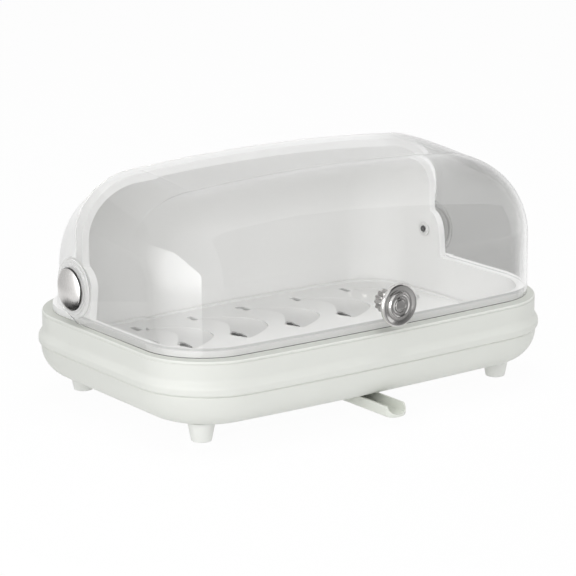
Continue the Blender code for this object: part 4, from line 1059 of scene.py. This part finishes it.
def screw(face, seat, tip, head, shank, bevel, cross, cut=0.0004):
    """A screw from its head's face to its tip.

    bevel = across and up, on the head. cross = depth, reach and half width of its recess.
    """
    body = spun("screw", [
        (0, face), (head - bevel[0], face), (head, face + bevel[1]), (head, seat), (shank, seat),
        (shank, tip), (0, tip),
    ], cut)
    depth, reach, width = cross
    low, high = face - 0.002, face + depth
    bars = [block("bar", (-a, -b, low), (a, b, high)) for a, b in ((reach, width), (width, reach))]
    return carve(body, [("DIFFERENCE", carve(bars[0], [("UNION", bars[1])]))])


def make_cap():
    back = LID_HALF_LENGTH + EAR_BOSS_TALL + 0.0006
    stem, bite = back - 0.009, back - 0.0025
    bore, post, under, radius = 0.0017, 0.0029, 0.0170, 0.0180
    edge, rise = back + 0.0012, 0.0042
    profile = [
        (0, bite), (bore, bite), (bore, stem), (post, stem), (post, back), (under, back),
        (radius, back + 0.0008), (radius, edge),
    ]
    for k in range(1, 15):
        angle = math.pi / 2 * k / 14
        reach = radius * math.cos(angle) if k < 14 else 0
        profile.append((reach, edge + rise * math.sin(angle)))
    return turned("cap", profile, FINE_STEPS)


def make_bush():
    bore, tube, flange = 0.0032, 0.005, 0.0068
    inside, seat, end = 0.1776, 0.1791, LID_HALF_LENGTH + EAR_BOSS_TALL + 0.0003
    profile = [(bore, inside), (flange, inside), (flange, seat), (tube, seat), (tube, end), (bore, end)]
    return spun("bush", profile, 0.0004, closed=True)


def make_pivot_screw():
    tip = LID_HALF_LENGTH + EAR_BOSS_TALL - 0.0022
    return screw(0.1762, 0.1774, tip, 0.0027, 0.0014, (0.0005, 0.0006), (0.0007, 0.0016, 0.0004))


def make_rail_screw():
    return screw(0.0126, 0.0144, 0.0232, 0.0034, 0.0014, (0.0006, 0.0006), (0.0009, 0.0019, 0.0004))


# The knob's stations outwards from the lid, and its radii
KNOB_SEAT = 0.00047
COLLAR_END = KNOB_SEAT + 0.0085
NECK = COLLAR_END + 0.0003
NECK_TALL = 0.0075
DISC = NECK + NECK_TALL
DISC_TALL = 0.0068
FACE = DISC + DISC_TALL
NECK_RADIUS = 0.0065
KNOB_RADIUS = 0.018
SCREW_END = 0.00947


def make_knob_collar():
    bore, bevelled, radius, bevel = 0.0035, 0.0084, 0.0090, 0.0008
    profile = [
        (bore, KNOB_SEAT), (bevelled, KNOB_SEAT), (radius, KNOB_SEAT + bevel),
        (radius, COLLAR_END - bevel), (bevelled, COLLAR_END), (bore, COLLAR_END),
    ]
    return spun("collar", profile, 0.0006, 120, True, (0.0008, 12, 0.008))


def make_knob_body():
    """Its lists give shares of radius and height, first of the neck and then of the disc."""
    bore, stem, bore_end = 0.0019, 0.0032, SCREW_END + 0.0003
    profile = [(0, bore_end), (bore, bore_end), (bore, KNOB_SEAT), (stem, KNOB_SEAT), (stem, NECK)]
    for out, along in [(1.25, 0.00), (1.00, 0.35), (1.15, 0.75)]:
        profile.append((NECK_RADIUS * out, NECK + NECK_TALL * along))
    for out, along in [(0.72, 0.06), (0.93, 0.25), (1.00, 0.50), (0.98, 0.81), (0.90, 0.95),
                       (0.80, 0.87), (0.70, 0.75), (0.62, 0.75), (0.57, 1.00), (0.51, 1.00),
                       (0.46, 0.87), (0.38, 0.87), (0.35, 0.96)]:
        profile.append((KNOB_RADIUS * out, DISC + DISC_TALL * along))
    profile += [(0.00534, FACE - 0.00027), (0.00534, FACE - 0.0014), (0, FACE - 0.0014)]
    return spun("knob", profile, 0.0006, FINE_STEPS, rounds=4)


def make_knob_centre():
    low, radius = FACE - 0.0011, 0.00504
    deep = FACE - low
    profile = [
        (0, low), (radius, low), (radius, low + deep * 0.6), (0.0043, FACE), (0.0025, low + deep * 0.7),
        (0, low + deep * 0.62),
    ]
    return spun("centre", profile, 0.0004, 64, rounds=4)


def make_knob_washer():
    bore, radius, high = KNOB_HOLE, 0.0062, -LID_WALL - KNOB_SEAT
    low = high - 0.001
    return spun("washer", [(bore, low), (radius, low), (radius, high), (bore, high)], 0.0003, closed=True)


def make_knob_screw():
    seat = -LID_WALL - KNOB_SEAT - 0.0013
    cross = (0.001, 0.0022, 0.00045)
    return screw(seat - 0.002, seat, SCREW_END, 0.004, 0.0016, (0.001, 0.001), cross, 0.0005)


# Spout and rails

SPOUT_TIP = -0.147
SPOUT_REAR = -0.050


def spout_section(half, inner, top, y):
    """The spout's U-shaped section with rounded outer and inner corners, as a loop at depth y."""
    low, floor = 0.0055, 0.0075
    outer_round = min(0.0024, half * 0.6)
    inner_round = min(0.0010, top - floor - 0.0001)
    outer = arc((half - outer_round, low + outer_round), outer_round, 0, -90, 5)
    channel = arc((inner - inner_round, floor + inner_round), inner_round, 0, -90, 3)
    right = channel[::-1] + [(inner, top), (half, top)] + outer
    return [(x, y, z) for x, z in right] + [(-x, y, z) for x, z in right[::-1]]


def make_spout():
    full, lip, tip_round, half, inner = 0.0150, 0.0085, 0.006, 0.010, 0.008
    loops = []
    for k in range(13):
        angle = math.pi / 2 * k / 12
        along = tip_round * (1 - math.cos(angle))
        reach = half - tip_round * (1 - math.sin(angle))
        top = lip + (full - lip) * along / tip_round
        loops.append(spout_section(reach, min(inner, reach - 0.0008), top, SPOUT_TIP + along))
    loops.append(spout_section(half, inner, full, SPOUT_REAR))
    inside = 0.009
    extras = [block("rear_wall", (-inside, SPOUT_REAR - 0.002, 0.0065), (inside, SPOUT_REAR, 0.0148))]
    for side in (-1, 1):
        left, right = sorted((side * inside, side * 0.0125))
        start, end = SPOUT_REAR - 0.055, SPOUT_REAR - 0.001
        extras.append(block("flange", (left, start, 0.0135), (right, end, 0.0147)))
    mesh = carve(loft("spout", loops), [("UNION", extra) for extra in extras])
    return eased(mesh, 0.0003, 60, steps=2)


def make_rail(side):
    inner, hook, outer, flange = 0.0105, 0.0130, 0.0155, 0.0231
    low, lip, under, top = 0.0112, 0.0132, 0.0147, 0.0167
    section = [
        (inner, low), (outer, low), (outer, under), (flange, under), (flange, top), (hook, top),
        (hook, lip), (inner, lip),
    ]
    mesh = loft("rail", [[(side * x, y, z) for x, z in section] for y in RAIL_ENDS])
    places = [(x, y) for x, y in rail_screw_places() if x * side > 0]
    holes = [round_rod(x, y, SCREW_HOLE[0], 0.010, 0.021) for x, y in places]
    return eased(carve(mesh, [("DIFFERENCE", merged("holes", holes))]), 0.0003, steps=2)


# Materials

# The base's top face gets painted shade beside the lid's foot.
BASE_PLASTIC = moulded_plastic(
    "base_ivory", (0.765, 0.778, 0.740), (0.695, 0.707, 0.664), 0.46, 0.5, 0.0, 0.18,
    ledge=(LEDGE_HEIGHT - 0.0004, (0.560, 0.572, 0.535)),
)
FOOT_PLASTIC = moulded_plastic("foot_ivory", (0.830, 0.840, 0.810), (0.790, 0.800, 0.770), 0.44, 0.3)
HOOD_PLASTIC = moulded_plastic("hood_white", (0.905, 0.905, 0.896), (0.850, 0.850, 0.841), 0.36, 0.2)
# The tray's scoops get painted shade, darker with depth.
TRAY_PLASTIC = moulded_plastic(
    "tray_grey_white", (0.840, 0.840, 0.830), (0.785, 0.785, 0.775), 0.42, 0.3,
    hollow=(TRAY_TOP, SCOOP_DEPTH, (0.620, 0.620, 0.612)),
)
SPOUT_PLASTIC = moulded_plastic("spout_ivory", (0.770, 0.790, 0.735), (0.690, 0.710, 0.650), 0.38, 0.5)
BUSH_PLASTIC = moulded_plastic("bush_white", (0.780, 0.780, 0.770), (0.700, 0.700, 0.690), 0.45, 0.2)
CLEAR = clear_plastic("lid_clear")
KNOB_METAL = satin_metal(
    "knob_satin_nickel", (0.720, 0.708, 0.695), (0.560, 0.550, 0.540), 0.10,
    (0.0, 0.0, KNOB_HEIGHT), "Y",
)
# A darker copy of the knob's nickel: painted shade that makes the fluted collar look dark.
SHADED_COLLAR_METAL = satin_metal(
    "collar_nickel_painted_dark", (0.500, 0.490, 0.480), (0.260, 0.254, 0.248), 0.12,
    (0.0, 0.0, KNOB_HEIGHT), "Y",
)
# The cap's rim gets painted shadow: its plating is painted dark beyond the given radius.
CAP_METAL = satin_metal(
    "cap_satin_nickel", (0.780, 0.765, 0.750), (0.680, 0.665, 0.650), 0.20,
    (0.0, PIVOT[0] + SHIFT.y, PIVOT[1]), "X", painted_shade_radius=0.0174,
)
# Steel painted nearly black: painted shade, so the screw heads read as dark holes.
SHADED_STEEL = satin_metal(
    "screw_steel", (0.160, 0.160, 0.160), (0.090, 0.090, 0.090), 0.30, (0.0, 0.0, 0.0), "Z", 0.3,
)
PAD_RUBBER = soft_rubber("pad_rubber", (0.620, 0.630, 0.600), (0.480, 0.490, 0.465))


# Pieces

piece("base_moulding", make_base(), BASE_PLASTIC, "base", ["base_basin"])
piece("hood_moulding", make_hood(), HOOD_PLASTIC, "base", ["hood"])
piece("clear_lid", make_lid(), CLEAR, "lid_body", ["lid"], crease=35, ridge=lid_ridge)
piece("scooped_tray", make_tray(), TRAY_PLASTIC, "tray_body", ["drip_tray"])

for depth, depth_name in ((-1, "front"), (1, "rear")):
    for side, side_name in ((-1, "left"), (1, "right")):
        where = depth_name + "_" + side_name
        spot = (side * FOOT_X, depth * FOOT_Y, 0)
        for name, mesh, material, slot, node in (
            ("tapered_foot_", make_foot(), FOOT_PLASTIC, "base_ivory", "foot_"),
            ("soft_pad_", make_pad(), PAD_RUBBER, "pad_rubber", "foot_pad_"),
        ):
            piece(name + where, mesh, material, "base", [node + where], place=spot)

for side, side_name in ((-1, "left"), (1, "right")):
    turn = quarter_turn("Y", side)
    for name, mesh, material, slot, node in (
        ("domed_cap_", make_cap(), CAP_METAL, "satin_nickel", "pivot_cap_"),
        ("nylon_bush_", make_bush(), BUSH_PLASTIC, "bush_white", "pivot_bush_"),
        ("cap_screw_", make_pivot_screw(), SHADED_STEEL, "screw_steel", "pivot_screw_"),
    ):
        piece(name + side_name, mesh, material, "base", [node + side_name], turn, (0, *PIVOT))
    node = "spout_rail_" + side_name
    piece("slide_rail_" + side_name, make_rail(side), SPOUT_PLASTIC, "base", [node])

turn = quarter_turn("X")
spot = (0, KNOB_SEAT_Y, KNOB_HEIGHT)
for name, mesh, material, slot, node in (
    ("fluted_collar", make_knob_collar(), SHADED_COLLAR_METAL, "satin_nickel", "knob_collar"),
    ("stepped_knob", make_knob_body(), KNOB_METAL, "satin_nickel", "knob_body"),
    ("dished_centre", make_knob_centre(), KNOB_METAL, "satin_nickel", "knob_centre"),
    ("thin_washer", make_knob_washer(), BUSH_PLASTIC, "bush_white", "knob_washer"),
    ("inner_screw", make_knob_screw(), SHADED_STEEL, "screw_steel", "knob_screw"),
):
    piece(name, mesh, material, "lid_body", [node], turn, spot)

piece("open_spout", make_spout(), SPOUT_PLASTIC, "spout_body", ["drain_spout"])
for (x, y), name in zip(rail_screw_places(), ("left_front", "left_rear", "right_front", "right_rear")):
    node = "rail_screw_" + name
    piece("pan_screw_" + name, make_rail_screw(), SHADED_STEEL, "base", [node], place=(x, y, 0))


# Floor, backdrop light and world

# How far the floor shines up at the object by itself, beside what the lamps put on it
FLOOR_GLOW = 0.35


def flat_card(name, corners, material):
    form = bmesh.new()
    form.faces.new([form.verts.new(corner) for corner in corners])
    mesh = to_mesh(name, form)
    mesh.materials.append(material)
    return placed(name, mesh)


def make_floor():
    """White where it is seen, also in metal and clear plastic, and matt under the box, for its shadow."""
    finish = Finish("pale_floor")
    seen = finish.ray("Camera").most(finish.ray("Glossy")).most(finish.ray("Transmission")) * 0.96
    seen = seen.most(finish.ray("Diffuse") * FLOOR_GLOW)
    grain = finish.noise(30.0, 3.0)
    colour = finish.mix_colour(grain, (0.86, 0.86, 0.86), (0.84, 0.84, 0.84))
    matt = finish.shader({"Base Color": colour, "Roughness": 0.9})
    white = finish.node("ShaderNodeEmission", None, {"Color": WHITE, "Strength": 1.0})
    corners = [(-6, -6, 0), (6, -6, 0), (6, 6, 0), (-6, 6, 0)]
    floor = flat_card("floor", corners, finish.done(finish.blended(seen, matt, white)))
    floor.location.z = -0.0002


def make_world():
    """White where it is seen, also in metal and clear plastic, and a softer room light elsewhere."""
    finish = Finish("studio", world=True)
    seen = finish.ray("Camera").most(finish.ray("Glossy")).most(finish.ray("Transmission"))
    where = finish.node("ShaderNodeTexCoord", output="Generated")
    height = finish.node("ShaderNodeSeparateXYZ", None, {0: where}, output="Z")
    shade = finish.ramp(height, [(0.02, 0.42), (0.75, 0.92)])
    room = finish.node("ShaderNodeBackground", None, {"Color": shade, "Strength": 0.57})
    white = finish.node("ShaderNodeBackground", None, {"Color": WHITE, "Strength": 1.0})
    bpy.context.scene.world = finish.done(finish.blended(seen, room, white))


def area_light(name, place, target, width, energy):
    """A square soft lamp, which shows in no reflection."""
    light = bpy.data.lights.new(name, "AREA")
    light.size = width
    light.energy = energy
    item = placed(name, light)
    item.location = place
    item.rotation_euler = (Vector(target) - Vector(place)).to_track_quat("-Z", "Y").to_euler()
    item.visible_camera = False
    item.visible_glossy = False
    item.visible_transmission = False


def reflected_card(name, corners, strength, *fades):
    """A card that shows only in metal and in the lid's gloss.

    Each fade = (axis, low, high, stops) clears part of it along that axis.
    """
    finish = Finish(name)
    glow = finish.node("ShaderNodeEmission", None, {"Color": WHITE, "Strength": strength})
    nothing = finish.node("ShaderNodeBsdfTransparent", None, {"Color": WHITE})
    for axis, low, high, stops in fades:
        share = finish.ramp((finish.axis(axis) - low) * (1.0 / (high - low)), stops)
        glow = finish.blended(share, nothing, glow)
    card = flat_card(name, corners, finish.done(glow))
    card.visible_camera = False
    card.visible_diffuse = False
    card.visible_transmission = False
    card.visible_shadow = False


def make_camera():
    """A long lens from the front left, a little above the roof."""
    back = Vector((-0.5767, -0.7788, 0.2470)).normalized()
    right = Vector((0.8037, -0.5951, 0.0)).normalized()
    lens = bpy.data.cameras.new("camera")
    lens.lens = 149.3
    lens.sensor_width = 36.0
    lens.clip_end = 30.0
    camera = placed("camera", lens)
    turned_frame = Matrix((right, back.cross(right), back)).transposed().to_4x4()
    turned_frame.translation = Vector((-1.1763, -1.5837, 0.5864)) + SHIFT
    camera.matrix_world = turned_frame
    bpy.context.scene.camera = camera


make_floor()
make_world()
make_camera()
MIDDLE = (0, 0, 0.08)
area_light("key", (-1.2, -1.9, 1.0), MIDDLE, 1.2, 11.5)
area_light("left_side", (-1.9, -1.0, 0.9), MIDDLE, 1.2, 12.5)
area_light("right_side", (1.1, -1.0, 0.6), MIDDLE, 0.9, 3.0)
area_light("overhead", (0.0, 0.2, 2.2), MIDDLE, 1.4, 19)

# A tall window at the front left
WINDOW = [
    (-0.350, -0.345, 0.0), (-0.530, 0.200, 0.0), (-0.530, 0.200, 0.360), (-0.424, -0.120, 0.350),
    (-0.350, -0.345, 0.225),
]
reflected_card(
    "window", WINDOW, 9.5,
    ("Y", -0.345, 0.20, [(0.0, 1.0), (0.45, 0.75), (0.75, 0.3), (1.0, 0.0)]),
    ("Z", 0.0, 0.30, [(0.0, 0.25), (0.15, 0.35), (0.35, 0.75), (0.6, 1.0)]),
)

# A dim room beside and before the box
reflected_card(
    "dim_ceiling", [(1.9, -1.5, 0.003), (-0.2, -2.2, 0.003), (-0.1, -1.1, 2.4), (1.4, -0.6, 2.4)], 0.04,
    ("Z", 0.0, 2.4, [(0.0, 0.65), (0.3, 0.9), (1.0, 1.0)]),
)
reflected_card(
    "dim_floor",
    [(-0.2, -2.1, 0.002), (1.9, -1.5, 0.002), (1.9, -0.18, 0.002), (-0.2, -0.18, 0.002)], 0.30,
    ("X", -0.2, 1.9, [(0.0, 0.0), (0.16, 1.0), (0.45, 1.0), (0.70, 0.3), (1.0, 0.0)]),
)
reflected_card(
    "dark_patch",
    [(-0.34, 0.03, 0.004), (-0.21, 0.03, 0.004), (-0.21, 0.26, 0.004), (-0.34, 0.26, 0.004)], 0.02,
)
reflected_card(
    "grey_wall", [(-0.52, 0.24, 0.0), (-0.18, 0.50, 0.0), (-0.18, 0.50, 0.5), (-0.52, 0.24, 0.5)], 0.62,
    ("X", -0.52, -0.18, [(0.0, 0.0), (0.4, 1.0), (1.0, 1.0)]),
)

bpy.context.scene.view_settings.view_transform = "Standard"
